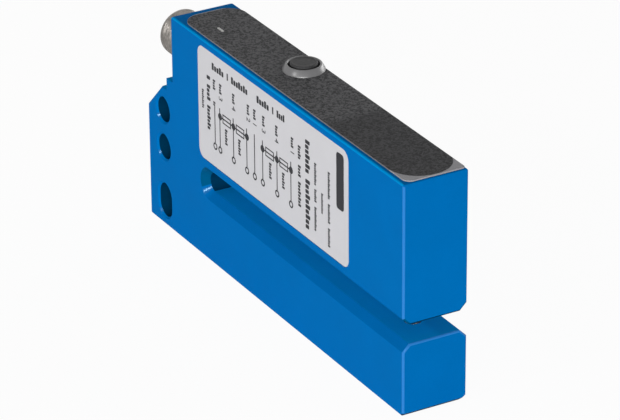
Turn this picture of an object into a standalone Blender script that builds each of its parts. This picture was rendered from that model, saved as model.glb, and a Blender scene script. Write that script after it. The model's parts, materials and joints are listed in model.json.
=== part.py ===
"""Fork sensor: a one-piece aluminium fork with a light barrier across its slot.

The sensor stands on its lower edge. X runs along the fork, with the open end
at +X and the mounting flange and plug connector at -X. The labelled side is
-Y. The origin is the middle of the bottom face's outline.
"""
from math import cos, pi, radians, sin, tan

import bmesh
import bpy
from mathutils import Matrix, Vector

MM = 0.001

# Modelling tolerances
WELD = 0.001 * MM          # points closer than this are one point
TOUCH = 0.01 * MM          # an edge this close to a plane lies on it
OVERCUT = 1.0 * MM         # how far a cutter stands out of what it cuts
CORNER_ANGLE = radians(60)
FLAT_ANGLE = radians(0.5)

# How finely round shapes are divided
ROUND_SIDES = 32
FINE_SIDES = 20
SLOT_STEPS = 12
CORNER_STEPS = 6
SMALL_STEPS = 4

# Clearances between pieces
SEAT = 0.1 * MM            # a piece resting on, or fitted into, another
GLUE = 0.05 * MM           # adhesive under foils and labels
SLIDE = 0.15 * MM          # all round the push-button's moving stem

# Fork housing, seen from the labelled side
LENGTH = 75.4 * MM         # open end to the back of the flange
THICKNESS = 10.4 * MM
HEIGHT = 35.9 * MM         # up to the face that carries the foil
LOWER_JAW = 11.25 * MM
SLOT_WIDTH = 3.0 * MM
SLOT_REAR = 10.0 * MM      # back wall forward to the slot's closed end
SLOT_CHAMFER = 1.1 * MM
FLANGE_REACH = 7.7 * MM    # how far the flange stands behind the body
NUT_LEDGE_DROP = 10.8 * MM # top face down to the first ledge
NUT_LEDGE = 1.45 * MM      # depth of that ledge, clear of the plug's nut
STEP_LEDGE_DROP = 1.95 * MM
STEP_LEDGE = 1.65 * MM
SLOPE_DROP = 4.85 * MM     # height of the slope behind the ledges
NEAR_BACK_ROUND = 2.0 * MM
FAR_BACK_ROUND = 0.9 * MM
FAR_FOOT_ROUND = 1.2 * MM
EDGE_BREAK = 0.25 * MM

# Mounting holes through the flange, for M4 screws
HOLE_DIAMETER = 4.2 * MM
HOLE_SETBACK = 4.8 * MM    # hole axes to the back of the flange
HOLE_PITCH = 6.2 * MM
TOP_HOLE_DROP = 3.85 * MM  # lower ledge down to the top hole's axis
LONG_HOLE_HEIGHT = 4.1 * MM
LONG_HOLE_STRETCH = 1.5 * MM
HOLE_COUNTERSINK = 0.25 * MM

# Pockets milled into the two jaws, and the bore that joins them
FRONT_WALL = 2.8 * MM
REAR_WALL = 5.0 * MM       # carries the connector
UPPER_SIDE_WALL = 1.9 * MM
LOWER_SIDE_WALL = 2.4 * MM
SLOT_WALL = 3.2 * MM       # metal between either pocket and the slot
POCKET_ROUND = 0.8 * MM
COVER_LEDGE = 0.7 * MM
COVER_THICKNESS = 1.2 * MM
FOOT_INSET = 0.3 * MM      # bottom cover, up from the standing face
CHANNEL_LENGTH = 2.8 * MM
CHANNEL_WIDTH = 3.6 * MM

# Label and keypad foil
LABEL_FRONT_MARGIN = 14.9 * MM
LABEL_BACK_MARGIN = 7.9 * MM
LABEL_TOP_MARGIN = 1.2 * MM
LABEL_FOOT_MARGIN = 2.25 * MM    # slot up to the label
LABEL_ROUND = 1.5 * MM
LABEL_THICKNESS = 0.15 * MM
LABEL_INSET = 0.05 * MM
FOIL_THICKNESS = 0.2 * MM
FOIL_NEAR_MARGIN = 0.65 * MM
FOIL_FAR_MARGIN = 0.25 * MM
FOIL_FRONT_MARGIN = 0.35 * MM
FOIL_BACK_MARGIN = 1.2 * MM
FOIL_BACK_ROUND = 3.0 * MM
FOIL_FRONT_ROUND = 1.2 * MM

# Push-button
BUTTON_REACH = 27.8 * MM   # back wall forward to the button's axis
BUTTON_OFFSET = 2.0 * MM   # axis toward the far side
BUTTON_TRAVEL = 0.4 * MM
CAP_DIAMETER = 4.1 * MM
CAP_THICKNESS = 0.75 * MM
CAP_ROUND = 0.2 * MM
STEM_DIAMETER = 1.6 * MM
SNAP_RIM = 0.35 * MM       # how far the stem's snap rim stands out
SNAP_HEIGHT = 0.6 * MM
COLLAR_GAP = 0.3 * MM      # ring-shaped gap round the cap
COLLAR_HEIGHT = 0.95 * MM
COLLAR_FOOT_DIAMETER = 6.2 * MM
COLLAR_LIP = 0.35 * MM
COLLAR_RIM = 0.2 * MM      # upright edge at the collar's foot, and the width of its lip's edge

# Light barrier
BEAM_SETBACK = 6.0 * MM    # open end back to the beam
WINDOW_DIAMETER = 2.4 * MM
WINDOW_RIM = 0.6 * MM
WINDOW_RIM_THICKNESS = 0.6 * MM
WINDOW_INSET = 0.1 * MM    # window face, back from the slot's face
LENS_GAP = 0.3 * MM

# Circuit boards and what they carry
BOARD_THICKNESS = 0.8 * MM
BOARD_END_GAP = 0.4 * MM
BOARD_TOP_GAP = 0.4 * MM
RECEIVER_SIZE = Vector((2.2 * MM, 2.0 * MM, 1.6 * MM))
EMITTER_SIZE = Vector((2.0 * MM, 2.0 * MM, 1.2 * MM))
EMITTER_LENS_DIAMETER = 1.4 * MM
EMITTER_LENS_RISE = 0.35 * MM
EMITTER_BOARD_LENGTH = 7.0 * MM
WIRE_NOTCH_LENGTH = 4.4 * MM
WIRE_NOTCH_HEIGHT = 6.4 * MM
CONTROLLER_SIZE = Vector((5.0 * MM, 0.9 * MM, 5.0 * MM))
AMPLIFIER_SIZE = Vector((4.9 * MM, 1.4 * MM, 3.9 * MM))
REGULATOR_SIZE = Vector((2.9 * MM, 1.1 * MM, 1.6 * MM))
TRANSISTOR_SIZE = Vector((2.9 * MM, 1.0 * MM, 1.4 * MM))
CAPACITOR_SIZE = Vector((3.2 * MM, 1.6 * MM, 1.6 * MM))
CHIP_LEG = Vector((0.4 * MM, 0.25 * MM, 0.9 * MM))
CHIP_STANDOFF = 0.15 * MM
CHIP_ROW = 0.44            # share of the board's height up to the chips
POWER_ROW = 0.74           # share of the board's height up to the power parts
CONTROLLER_SETBACK = 26.5 * MM   # board's front edge back to each chip
AMPLIFIER_SETBACK = 12.5 * MM
TRANSISTOR_REACH = 9.6 * MM      # board's rear edge forward to each power part
TRANSISTOR_PITCH = 5.5 * MM
REGULATOR_REACH = 10.6 * MM
CAPACITOR_REACH = 12.6 * MM
MOULD_EDGE = 0.15 * MM
SWITCH_SIZE = Vector((3.6 * MM, 2.6 * MM, 3.0 * MM))
PLUNGER_DIAMETER = 1.4 * MM
PLUNGER_LENGTH = 1.5 * MM
PLUNGER_SHOW = 0.7 * MM    # how far it stands out of the switch
PEG_DIAMETER = 1.4 * MM
PEG_SPACING = 4.6 * MM

# Signal light
LAMP_REACH = 9.0 * MM      # back wall forward to the light
LAMP_OFFSET = -1.4 * MM
GUIDE_LENGTH = 1.7 * MM
GUIDE_WIDTH = 0.8 * MM
GUIDE_DEPTH = 3.6 * MM
LED_SIZE = Vector((1.6 * MM, 1.6 * MM, 0.9 * MM))

# Leads to the emitter
LEAD_DIAMETER = 0.6 * MM
LEAD_BEND = 1.2 * MM
LEAD_LANDING = 1.6 * MM

# M8 plug connector
PLUG_DROP = 6.1 * MM       # top face down to the plug's axis
PLUG_DIAMETER = 8.0 * MM
PLUG_LENGTH = 7.0 * MM     # back wall to the plug's end
PLUG_CHAMFER = 0.5 * MM
PLUG_BORE = 6.1 * MM
PLUG_BORE_DEPTH = 5.4 * MM
SHANK_DIAMETER = 6.6 * MM
INSERT_DIAMETER = 4.9 * MM
INSERT_HEAD = 0.7 * MM
SEAL_THICKNESS = 0.5 * MM
SEAL_WIDTH = 0.5 * MM
PIN_DIAMETER = 1.0 * MM
PIN_SPREAD_Y = 2.0 * MM
PIN_SPREAD_Z = 2.1 * MM
PIN_RECESS = 1.0 * MM      # pin tips, back from the plug's end
PIN_TAIL = 2.6 * MM        # how far the pins lap the circuit board

# Planes and axes that several pieces share
FRONT_X = LENGTH / 2
FLANGE_X = -LENGTH / 2
BACK_X = FLANGE_X + FLANGE_REACH
SIDE_Y = THICKNESS / 2
SLOT_TOP = LOWER_JAW + SLOT_WIDTH
SLOT_END = BACK_X + SLOT_REAR
LEDGE_Z = HEIGHT - NUT_LEDGE_DROP
STEP_Z = LEDGE_Z - STEP_LEDGE_DROP
TOP_HOLE_Z = STEP_Z - TOP_HOLE_DROP
PLUG_Z = HEIGHT - PLUG_DROP
BEAM_X = FRONT_X - BEAM_SETBACK
BUTTON_X = BACK_X + BUTTON_REACH
LAMP_X = BACK_X + LAMP_REACH
POCKET_FRONT = FRONT_X - FRONT_WALL
POCKET_BACK = BACK_X + REAR_WALL
UPPER_HALF = SIDE_Y - UPPER_SIDE_WALL
LOWER_HALF = SIDE_Y - LOWER_SIDE_WALL
UPPER_FLOOR = SLOT_TOP + SLOT_WALL
LOWER_CEILING = LOWER_JAW - SLOT_WALL
COVER_SEAT = HEIGHT - COVER_THICKNESS - SEAT
COVER_UNDERSIDE = HEIGHT - COVER_THICKNESS
FOOT_COVER_TOP = FOOT_INSET + COVER_THICKNESS
FOIL_TOP = HEIGHT + GLUE + FOIL_THICKNESS
BOARD_HALF = BOARD_THICKNESS / 2
BOARD_FRONT = POCKET_FRONT - BOARD_END_GAP
BOARD_BACK = POCKET_BACK + BOARD_END_GAP
BOARD_FOOT = UPPER_FLOOR + SEAT
BOARD_TOP = COVER_UNDERSIDE - BOARD_TOP_GAP
WINDOW_RIM_TOP = UPPER_FLOOR + SEAT + WINDOW_RIM_THICKNESS
RECEIVER_FOOT = WINDOW_RIM_TOP + LENS_GAP
EMITTER_RIM_FOOT = LOWER_CEILING - SEAT - WINDOW_RIM_THICKNESS
EMITTER_BOARD_TOP = EMITTER_RIM_FOOT - LENS_GAP - EMITTER_LENS_RISE - EMITTER_SIZE.z - SEAT
EMITTER_BOARD_FOOT = EMITTER_BOARD_TOP - BOARD_THICKNESS
CHANNEL_X = POCKET_BACK + CHANNEL_LENGTH / 2
STEM_TIP = COVER_UNDERSIDE - SEAT - SNAP_HEIGHT
SWITCH_TOP = STEM_TIP - SEAT - PLUNGER_SHOW
LEAD_Y = BOARD_HALF + SEAT + LEAD_DIAMETER / 2


def clear_scene():
    for obj in list(bpy.data.objects):
        bpy.data.objects.remove(obj, do_unlink=True)


def new_collection(name):
    collection = bpy.data.collections.new(name)
    bpy.context.scene.collection.children.link(collection)
    return collection


clear_scene()
PARTS = new_collection("Fork sensor")
CUTTERS = new_collection("Cutters")


# Materials

def material(name, colour, roughness, metallic=0.0, alpha=1.0):
    mat = bpy.data.materials.get(name)
    if mat is None:
        mat = bpy.data.materials.new(name)
        mat.use_nodes = True
        shader = mat.node_tree.nodes["Principled BSDF"]
        shader.inputs["Base Color"].default_value = (*colour, 1.0)
        shader.inputs["Roughness"].default_value = roughness
        shader.inputs["Metallic"].default_value = metallic
        shader.inputs["Alpha"].default_value = alpha
        mat.diffuse_color = (*colour, alpha)
    return mat


BLUE_ALUMINIUM = material("Blue painted aluminium", (0.0, 0.145, 0.47), 0.42, 0.15)
DARK_FOIL = material("Dark keypad foil", (0.055, 0.053, 0.052), 0.55)
DARK_PLASTIC = material("Dark grey plastic", (0.075, 0.073, 0.072), 0.5)
BLACK_PLASTIC = material("Black plastic", (0.02, 0.02, 0.02), 0.45)
LABEL_FILM = material("Light grey label film", (0.62, 0.61, 0.63), 0.45)
NICKEL = material("Nickel-plated brass", (0.66, 0.64, 0.6), 0.25, 1.0)
GOLD = material("Gold-plated contact", (0.83, 0.6, 0.25), 0.25, 1.0)
SEAL_RUBBER = material("Black rubber", (0.015, 0.015, 0.015), 0.75)
BOARD_GREEN = material("Green circuit board", (0.01, 0.12, 0.045), 0.5)
CHIP_BLACK = material("Black moulding compound", (0.018, 0.018, 0.02), 0.6)
CAPACITOR_TAN = material("Capacitor ceramic", (0.45, 0.3, 0.17), 0.5)
CLEAR_LENS = material("Clear acrylic", (0.85, 0.87, 0.88), 0.08, 0.0, 0.5)
LED_BODY = material("LED epoxy", (0.9, 0.62, 0.15), 0.3)
RED_LENS = material("Red LED epoxy", (0.6, 0.03, 0.02), 0.2)
SWITCH_METAL = material("Switch frame", (0.55, 0.55, 0.55), 0.35, 1.0)
LEAD_RED = material("Red insulation", (0.5, 0.03, 0.02), 0.5)
LEAD_BLUE = material("Blue insulation", (0.02, 0.08, 0.4), 0.5)


# Modelling helpers

def add_object(name, mesh, mat=None, collection=None):
    obj = bpy.data.objects.new(name, mesh)
    (collection or PARTS).objects.link(obj)
    if mat is not None:
        mesh.materials.clear()
        mesh.materials.append(mat)
    return obj


def mark_cutter(obj):
    obj.hide_render = True
    obj.display_type = "WIRE"
    return obj


def evaluated_mesh(obj):
    """The object's finished mesh in world coordinates, welded."""
    bpy.context.view_layer.update()
    depsgraph = bpy.context.evaluated_depsgraph_get()
    mesh = bpy.data.meshes.new_from_object(obj.evaluated_get(depsgraph))
    mesh.transform(obj.matrix_world)
    bm = bmesh.new()
    bm.from_mesh(mesh)
    bmesh.ops.remove_doubles(bm, verts=bm.verts, dist=WELD)
    bm.to_mesh(mesh)
    bm.free()
    return mesh


def fillet(corner, before, after, radius, steps):
    """Points of an arc that rounds one corner of a flat outline."""
    corner, before, after = Vector(corner), Vector(before), Vector(after)
    into = (corner - before).normalized()
    away = (after - corner).normalized()
    turn = into.angle(away)
    if turn < FLAT_ANGLE or radius <= 0:
        return [tuple(corner)]
    reach = radius * tan(turn / 2)
    start = corner - into * reach
    middle = start + (away - into * into.dot(away)).normalized() * radius
    spoke = start - middle
    return [tuple(middle + spoke * cos(turn * i / steps) + into * radius * sin(turn * i / steps))
            for i in range(steps + 1)]


def rounded_outline(corners):
    """A closed outline from (point, radius) corners."""
    points = []
    for i, (corner, radius) in enumerate(corners):
        before = corners[i - 1][0]
        after = corners[(i + 1) % len(corners)][0]
        points += fillet(corner, before, after, radius, CORNER_STEPS)
    return points


def outline_plate(name, points, thickness, collection=None):
    """A flat outline drawn as a filled 2D curve and given its thickness."""
    curve = bpy.data.curves.new(name, "CURVE")
    curve.dimensions = "2D"
    curve.fill_mode = "BOTH"
    curve.extrude = thickness / 2
    spline = curve.splines.new("POLY")
    spline.points.add(len(points) - 1)
    for vertex, (x, y) in zip(spline.points, points):
        vertex.co = (x, y, 0.0, 1.0)
    spline.use_cyclic_u = True
    drawn = bpy.data.objects.new(name + " outline", curve)
    (collection or PARTS).objects.link(drawn)
    mesh = evaluated_mesh(drawn)
    bpy.data.objects.remove(drawn, do_unlink=True)
    bm = bmesh.new()
    bm.from_mesh(mesh)
    bmesh.ops.dissolve_limit(bm, angle_limit=FLAT_ANGLE, verts=bm.verts, edges=bm.edges)
    bmesh.ops.recalc_face_normals(bm, faces=bm.faces)
    bm.to_mesh(mesh)
    bm.free()
    return mesh


def flat_plate(name, points, low, high, mat=None, collection=None):
    """An outline in X and Y, standing between two heights."""
    mesh = outline_plate(name, points, high - low, collection)
    mesh.transform(Matrix.Translation((0, 0, (low + high) / 2)))
    return add_object(name, mesh, mat, collection)


def upright_plate(name, points, near, far, mat=None, collection=None):
    """An outline in X and Z, standing between two planes across Y."""
    mesh = outline_plate(name, points, far - near, collection)
    mesh.transform(Matrix.Rotation(pi / 2, 4, "X"))
    mesh.transform(Matrix.Translation((0, (near + far) / 2, 0)))
    return add_object(name, mesh, mat, collection)


def rectangle(low_x, high_x, low_y, high_y, radius=0.0):
    corners = [(low_x, low_y), (high_x, low_y), (high_x, high_y), (low_x, high_y)]
    return rounded_outline([(corner, radius) for corner in corners])


def block(name, size, centre, mat=None, edge=0.0, collection=None):
    mesh = bpy.data.meshes.new(name)
    bm = bmesh.new()
    bmesh.ops.create_cube(bm, size=1.0)
    bmesh.ops.scale(bm, vec=size, verts=bm.verts)
    if edge > 0:
        bmesh.ops.bevel(bm, geom=bm.edges, offset=edge, segments=1, affect="EDGES")
    bmesh.ops.translate(bm, vec=centre, verts=bm.verts)
    bm.to_mesh(mesh)
    bm.free()
    return add_object(name, mesh, mat, collection)


def rod(name, diameter, start, end, mat=None, sides=ROUND_SIDES, collection=None):
    start, end = Vector(start), Vector(end)
    along = end - start
    mesh = bpy.data.meshes.new(name)
    bm = bmesh.new()
    bmesh.ops.create_cone(bm, cap_ends=True, segments=sides, radius1=diameter / 2,
                          radius2=diameter / 2, depth=along.length)
    turn = along.to_track_quat("Z", "Y").to_matrix().to_4x4()
    bmesh.ops.transform(bm, matrix=Matrix.Translation((start + end) / 2) @ turn, verts=bm.verts)
    bm.to_mesh(mesh)
    bm.free()
    return add_object(name, mesh, mat, collection)


def turned(name, profile, mat, axis_point, direction, closed=False, sides=ROUND_SIDES,
           collection=None):
    """A profile of (radius, height) points, run down its outer side and spun."""
    mesh = bpy.data.meshes.new(name)
    bm = bmesh.new()
    verts = [bm.verts.new((radius, 0, height)) for radius, height in profile]
    for first, second in zip(verts, verts[1:]):
        bm.edges.new((first, second))
    if closed:
        bm.edges.new((verts[-1], verts[0]))
    bm.to_mesh(mesh)
    bm.free()
    obj = add_object(name, mesh, mat, collection)
    screw = obj.modifiers.new("Spin", "SCREW")
    screw.angle = 2 * pi
    screw.steps = sides
    screw.render_steps = sides
    screw.use_merge_vertices = True
    screw.merge_threshold = WELD
    screw.use_smooth_shade = False
    obj.location = axis_point
    obj.rotation_euler = Vector(direction).to_track_quat("Z", "Y").to_euler()
    return obj


def cut(target, cutter, operation="DIFFERENCE"):
    mark_cutter(cutter)
    modifier = target.modifiers.new(cutter.name, "BOOLEAN")
    modifier.operation = operation
    modifier.object = cutter
    modifier.solver = "EXACT"
    return modifier


def joined(target, additions):
    """The target with the additions united to it, as one finished mesh."""
    for addition in additions:
        cut(target, addition, "UNION")
    mesh = evaluated_mesh(target)
    target.modifiers.clear()
    target.data = mesh
    for addition in additions:
        bpy.data.objects.remove(addition, do_unlink=True)
    return target


# Fork housing

def housing_outline():
    ledge_x = BACK_X - NUT_LEDGE
    return [(FRONT_X, 0), (FRONT_X, HEIGHT), (BACK_X, HEIGHT), (BACK_X, LEDGE_Z),
            (ledge_x, LEDGE_Z), (ledge_x, STEP_Z), (ledge_x - STEP_LEDGE, STEP_Z),
            (FLANGE_X, STEP_Z - SLOPE_DROP), (FLANGE_X, 0)]


def slot_outline(widening):
    """The slot from its flared mouth round its closed end, widened all round."""
    radius = SLOT_WIDTH / 2
    round_x = SLOT_END + radius
    middle = LOWER_JAW + radius
    radius += widening
    turns = [pi * i / SLOT_STEPS for i in range(SLOT_STEPS + 1)]
    closed_end = [(round_x - radius * sin(turn), middle - radius * cos(turn)) for turn in turns]
    mouth = FRONT_X - EDGE_BREAK
    flare = EDGE_BREAK + OVERCUT
    return ([(mouth + flare, middle - radius - flare), (mouth, middle - radius)] + closed_end
            + [(mouth, middle + radius), (mouth + flare, middle + radius + flare)])


def slot_cutter():
    """The slot, wider towards both side faces so that it leaves a chamfer along its rims."""
    flare = SLOT_CHAMFER + OVERCUT
    inner = SIDE_Y - SLOT_CHAMFER
    stations = [(-inner - flare, flare), (-inner, 0.0), (inner, 0.0), (inner + flare, flare)]
    mesh = bpy.data.meshes.new("slot")
    bm = bmesh.new()
    rings = [[bm.verts.new((x, y, z)) for x, z in slot_outline(widening)]
             for y, widening in stations]
    for near, far in zip(rings, rings[1:]):
        for i in range(len(near)):
            bm.faces.new((near[i - 1], near[i], far[i], far[i - 1]))
    bm.faces.new(rings[0])
    bm.faces.new(rings[-1])
    bmesh.ops.recalc_face_normals(bm, faces=bm.faces)
    bm.to_mesh(mesh)
    bm.free()
    return add_object("slot", mesh, None, CUTTERS)


def far_foot(edge):
    return all(v.co.z < TOUCH and v.co.y > SIDE_Y - TOUCH for v in edge.verts)


def outer_corner(edge):
    return edge.is_convex and edge.calc_face_angle(0.0) > CORNER_ANGLE


def bevel_edges(bm, chosen, width, segments):
    edges = [edge for edge in bm.edges if chosen(edge)]
    bmesh.ops.bevel(bm, geom=edges, offset=width, offset_type="OFFSET", segments=segments,
                    profile=0.5, affect="EDGES", clamp_overlap=False)
    bmesh.ops.recalc_face_normals(bm, faces=bm.faces)


def hole_cutter(name, x, height, stretch):
    """A hole through the flange, flared at both faces and as long as its stretch."""
    radius = HOLE_DIAMETER / 2
    reach = SIDE_Y + HOLE_COUNTERSINK
    flare = radius + 2 * HOLE_COUNTERSINK
    profile = [(0, reach), (flare, reach), (radius, SIDE_Y - HOLE_COUNTERSINK),
               (radius, HOLE_COUNTERSINK - SIDE_Y), (flare, -reach), (0, -reach)]
    cutter = turned(name, profile, None, (x, 0, height), (0, 1, 0), collection=CUTTERS)
    mesh = evaluated_mesh(cutter)
    bm = bmesh.new()
    bm.from_mesh(mesh)
    if stretch > 0:
        bmesh.ops.bisect_plane(bm, geom=bm.verts[:] + bm.edges[:] + bm.faces[:],
                               plane_co=(x, 0, height), plane_no=(0, 0, 1), dist=WELD)
        for vertex in bm.verts:
            if vertex.co.z > height + 2 * WELD:
                vertex.co.z += stretch / 2
            elif vertex.co.z < height - 2 * WELD:
                vertex.co.z -= stretch / 2
    bm.to_mesh(mesh)
    bm.free()
    bpy.data.objects.remove(cutter, do_unlink=True)
    return add_object(name, mesh, None, CUTTERS)


def back_corner_cutter(name, radius, side):
    """What a rounding cutter takes off one upright corner of the back wall."""
    turns = [pi / 2 * i / CORNER_STEPS for i in range(CORNER_STEPS + 1)]
    arc = [(BACK_X + radius * (1 - cos(turn)), side * (SIDE_Y - radius * (1 - sin(turn))))
           for turn in turns]
    outline = arc + [(BACK_X + radius, side * (SIDE_Y + OVERCUT)),
                     (BACK_X - OVERCUT, side * (SIDE_Y + OVERCUT)),
                     (BACK_X - OVERCUT, side * (SIDE_Y - radius))]
    return flat_plate(name, outline, LEDGE_Z, HEIGHT + OVERCUT, collection=CUTTERS)


def fork_housing():
    housing = upright_plate("fork_housing", housing_outline(), -SIDE_Y, SIDE_Y, BLUE_ALUMINIUM)
    mesh = housing.data
    bm = bmesh.new()
    bm.from_mesh(mesh)
    bevel_edges(bm, far_foot, FAR_FOOT_ROUND, SMALL_STEPS)
    bevel_edges(bm, outer_corner, EDGE_BREAK, 1)
    bm.to_mesh(mesh)
    bm.free()

    hole_x = FLANGE_X + HOLE_SETBACK
    cut(housing, slot_cutter())
    cut(housing, back_corner_cutter("near back round", NEAR_BACK_ROUND, -1))
    cut(housing, back_corner_cutter("far back round", FAR_BACK_ROUND, 1))
    cut(housing, hole_cutter("top hole", hole_x, TOP_HOLE_Z, 0.0))
    cut(housing, hole_cutter("middle hole", hole_x, TOP_HOLE_Z - HOLE_PITCH, 0.0))
    cut(housing, hole_cutter("long hole", hole_x, LONG_HOLE_HEIGHT, LONG_HOLE_STRETCH))

    back = POCKET_BACK
    front = POCKET_FRONT
    ledge = COVER_LEDGE
    cut(housing, flat_plate(
        "cover recess",
        rectangle(back - ledge, front + ledge, -UPPER_HALF - ledge, UPPER_HALF + ledge,
                  POCKET_ROUND + ledge),
        COVER_SEAT, HEIGHT + OVERCUT, collection=CUTTERS))
    cut(housing, flat_plate(
        "upper pocket", rectangle(back, front, -UPPER_HALF, UPPER_HALF, POCKET_ROUND),
        UPPER_FLOOR, HEIGHT + OVERCUT, collection=CUTTERS))
    cut(housing, flat_plate(
        "foot cover recess",
        rectangle(back - ledge, front + ledge, -LOWER_HALF - ledge, LOWER_HALF + ledge,
                  POCKET_ROUND + ledge),
        -OVERCUT, FOOT_COVER_TOP + SEAT, collection=CUTTERS))
    cut(housing, flat_plate(
        "lower pocket", rectangle(back, front, -LOWER_HALF, LOWER_HALF, POCKET_ROUND),
        -OVERCUT, LOWER_CEILING, collection=CUTTERS))
    cut(housing, flat_plate(
        "wire channel",
        rectangle(back, back + CHANNEL_LENGTH, -CHANNEL_WIDTH / 2, CHANNEL_WIDTH / 2,
                  POCKET_ROUND),
        LOWER_CEILING - OVERCUT, UPPER_FLOOR + OVERCUT, collection=CUTTERS))
    cut(housing, rod("beam bore", WINDOW_DIAMETER + 2 * SEAT,
                     (BEAM_X, 0, LOWER_CEILING - OVERCUT), (BEAM_X, 0, UPPER_FLOOR + OVERCUT),
                     sides=FINE_SIDES, collection=CUTTERS))
    cut(housing, rod("connector bore", SHANK_DIAMETER + 2 * SEAT,
                     (BACK_X - NUT_LEDGE, 0, PLUG_Z), (POCKET_BACK + OVERCUT, 0, PLUG_Z),
                     collection=CUTTERS))
    recess = LABEL_THICKNESS + GLUE + LABEL_INSET
    cut(housing, upright_plate("label recess", label_outline(GLUE), -SIDE_Y - OVERCUT,
                               -SIDE_Y + recess, collection=CUTTERS))
    return housing


# Label and top of the sensor

def label_outline(margin):
    return rectangle(BACK_X + LABEL_BACK_MARGIN - margin, FRONT_X - LABEL_FRONT_MARGIN + margin,
                     SLOT_TOP + LABEL_FOOT_MARGIN - margin, HEIGHT - LABEL_TOP_MARGIN + margin,
                     LABEL_ROUND + margin)


def side_label():
    face = -SIDE_Y + LABEL_INSET
    return upright_plate("side_label", label_outline(0.0), face, face + LABEL_THICKNESS,
                         LABEL_FILM)


def lamp_opening(margin):
    return rectangle(LAMP_X - GUIDE_LENGTH / 2 - margin, LAMP_X + GUIDE_LENGTH / 2 + margin,
                     LAMP_OFFSET - GUIDE_WIDTH / 2 - margin,
                     LAMP_OFFSET + GUIDE_WIDTH / 2 + margin, margin)


def stem_opening(name, low, high):
    return rod(name, STEM_DIAMETER + 2 * SLIDE, (BUTTON_X, BUTTON_OFFSET, low),
               (BUTTON_X, BUTTON_OFFSET, high), sides=FINE_SIDES, collection=CUTTERS)


def top_cover():
    margin = COVER_LEDGE - SEAT
    cover = flat_plate(
        "top_cover",
        rectangle(POCKET_BACK - margin, POCKET_FRONT + margin, -UPPER_HALF - margin,
                  UPPER_HALF + margin, POCKET_ROUND + margin),
        COVER_UNDERSIDE, HEIGHT, DARK_PLASTIC)
    cut(cover, stem_opening("cover stem hole", COVER_UNDERSIDE - OVERCUT, HEIGHT + OVERCUT))
    cut(cover, flat_plate("cover lamp hole", lamp_opening(SEAT), COVER_UNDERSIDE - OVERCUT,
                          HEIGHT + OVERCUT, collection=CUTTERS))
    return cover


def keypad_foil():
    back = BACK_X + FOIL_BACK_MARGIN
    front = FRONT_X - FOIL_FRONT_MARGIN
    near = -SIDE_Y + FOIL_NEAR_MARGIN
    far = SIDE_Y - FOIL_FAR_MARGIN
    outline = rounded_outline([((back, near), FOIL_BACK_ROUND), ((front, near), FOIL_FRONT_ROUND),
                               ((front, far), FOIL_FRONT_ROUND), ((back, far), FOIL_BACK_ROUND)])
    foil = flat_plate("keypad_foil", outline, HEIGHT + GLUE, FOIL_TOP, DARK_FOIL)
    cut(foil, stem_opening("foil stem hole", HEIGHT - OVERCUT, FOIL_TOP + OVERCUT))
    cut(foil, flat_plate("foil lamp hole", lamp_opening(SEAT), HEIGHT - OVERCUT,
                         FOIL_TOP + OVERCUT, collection=CUTTERS))
    return foil


def bottom_cover():
    margin = COVER_LEDGE - SEAT
    cover = flat_plate(
        "bottom_cover",
        rectangle(POCKET_BACK - margin, POCKET_FRONT + margin, -LOWER_HALF - margin,
                  LOWER_HALF + margin, POCKET_ROUND + margin),
        FOOT_INSET, FOOT_COVER_TOP, DARK_PLASTIC)
    pegs = [rod("peg", PEG_DIAMETER, (x, 0, FOOT_INSET + COVER_THICKNESS / 2),
                (x, 0, EMITTER_BOARD_FOOT - SEAT), sides=FINE_SIDES, collection=CUTTERS)
            for x in (BEAM_X - PEG_SPACING / 2, BEAM_X + PEG_SPACING / 2)]
    return joined(cover, pegs)


# Push-button

def button_collar():
    foot = FOIL_TOP + GLUE
    inner = CAP_DIAMETER / 2 + COLLAR_GAP
    lip = inner + COLLAR_LIP
    outer = COLLAR_FOOT_DIAMETER / 2
    edge = COLLAR_RIM / 2
    profile = [(inner, 0), (inner, COLLAR_HEIGHT - edge), (inner + edge, COLLAR_HEIGHT),
               (lip - edge, COLLAR_HEIGHT), (lip, COLLAR_HEIGHT - edge), (outer, COLLAR_RIM),
               (outer, 0)]
    return turned("button_collar", profile, DARK_PLASTIC, (BUTTON_X, BUTTON_OFFSET, foot),
                  (0, 0, 1), closed=True)


def button_cap():
    foot = FOIL_TOP + BUTTON_TRAVEL + SEAT
    low = STEM_TIP - foot
    rim_top = low + SNAP_HEIGHT
    cap = CAP_DIAMETER / 2
    stem = STEM_DIAMETER / 2
    snap = stem + SNAP_RIM
    profile = [(0, CAP_THICKNESS), (cap - CAP_ROUND, CAP_THICKNESS),
               (cap, CAP_THICKNESS - CAP_ROUND), (cap, 0), (stem, 0), (stem, rim_top),
               (snap, rim_top), (stem, low), (0, low)]
    return turned("button_cap", profile, DARK_PLASTIC, (BUTTON_X, BUTTON_OFFSET, foot), (0, 0, 1))


def switch_plunger():
    top = PLUNGER_SHOW
    radius = PLUNGER_DIAMETER / 2
    edge = MOULD_EDGE
    profile = [(0, top), (radius - edge, top), (radius, top - edge),
               (radius, top - PLUNGER_LENGTH), (0, top - PLUNGER_LENGTH)]
    return turned("switch_plunger", profile, BLACK_PLASTIC,
                  (BUTTON_X, BUTTON_OFFSET, SWITCH_TOP), (0, 0, 1), sides=FINE_SIDES)


def tact_switch():
    centre = (BUTTON_X, BOARD_HALF + SEAT + SWITCH_SIZE.y / 2, SWITCH_TOP - SWITCH_SIZE.z / 2)
    switch = block("tact_switch", SWITCH_SIZE, centre, SWITCH_METAL, edge=MOULD_EDGE)
    depth = PLUNGER_LENGTH - PLUNGER_SHOW + BUTTON_TRAVEL + SEAT
    cut(switch, rod("plunger well", PLUNGER_DIAMETER + 2 * SEAT,
                    (BUTTON_X, BUTTON_OFFSET, SWITCH_TOP - depth),
                    (BUTTON_X, BUTTON_OFFSET, SWITCH_TOP + OVERCUT), sides=FINE_SIDES,
                    collection=CUTTERS))
    return switch


# Electronics in the upper jaw

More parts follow.
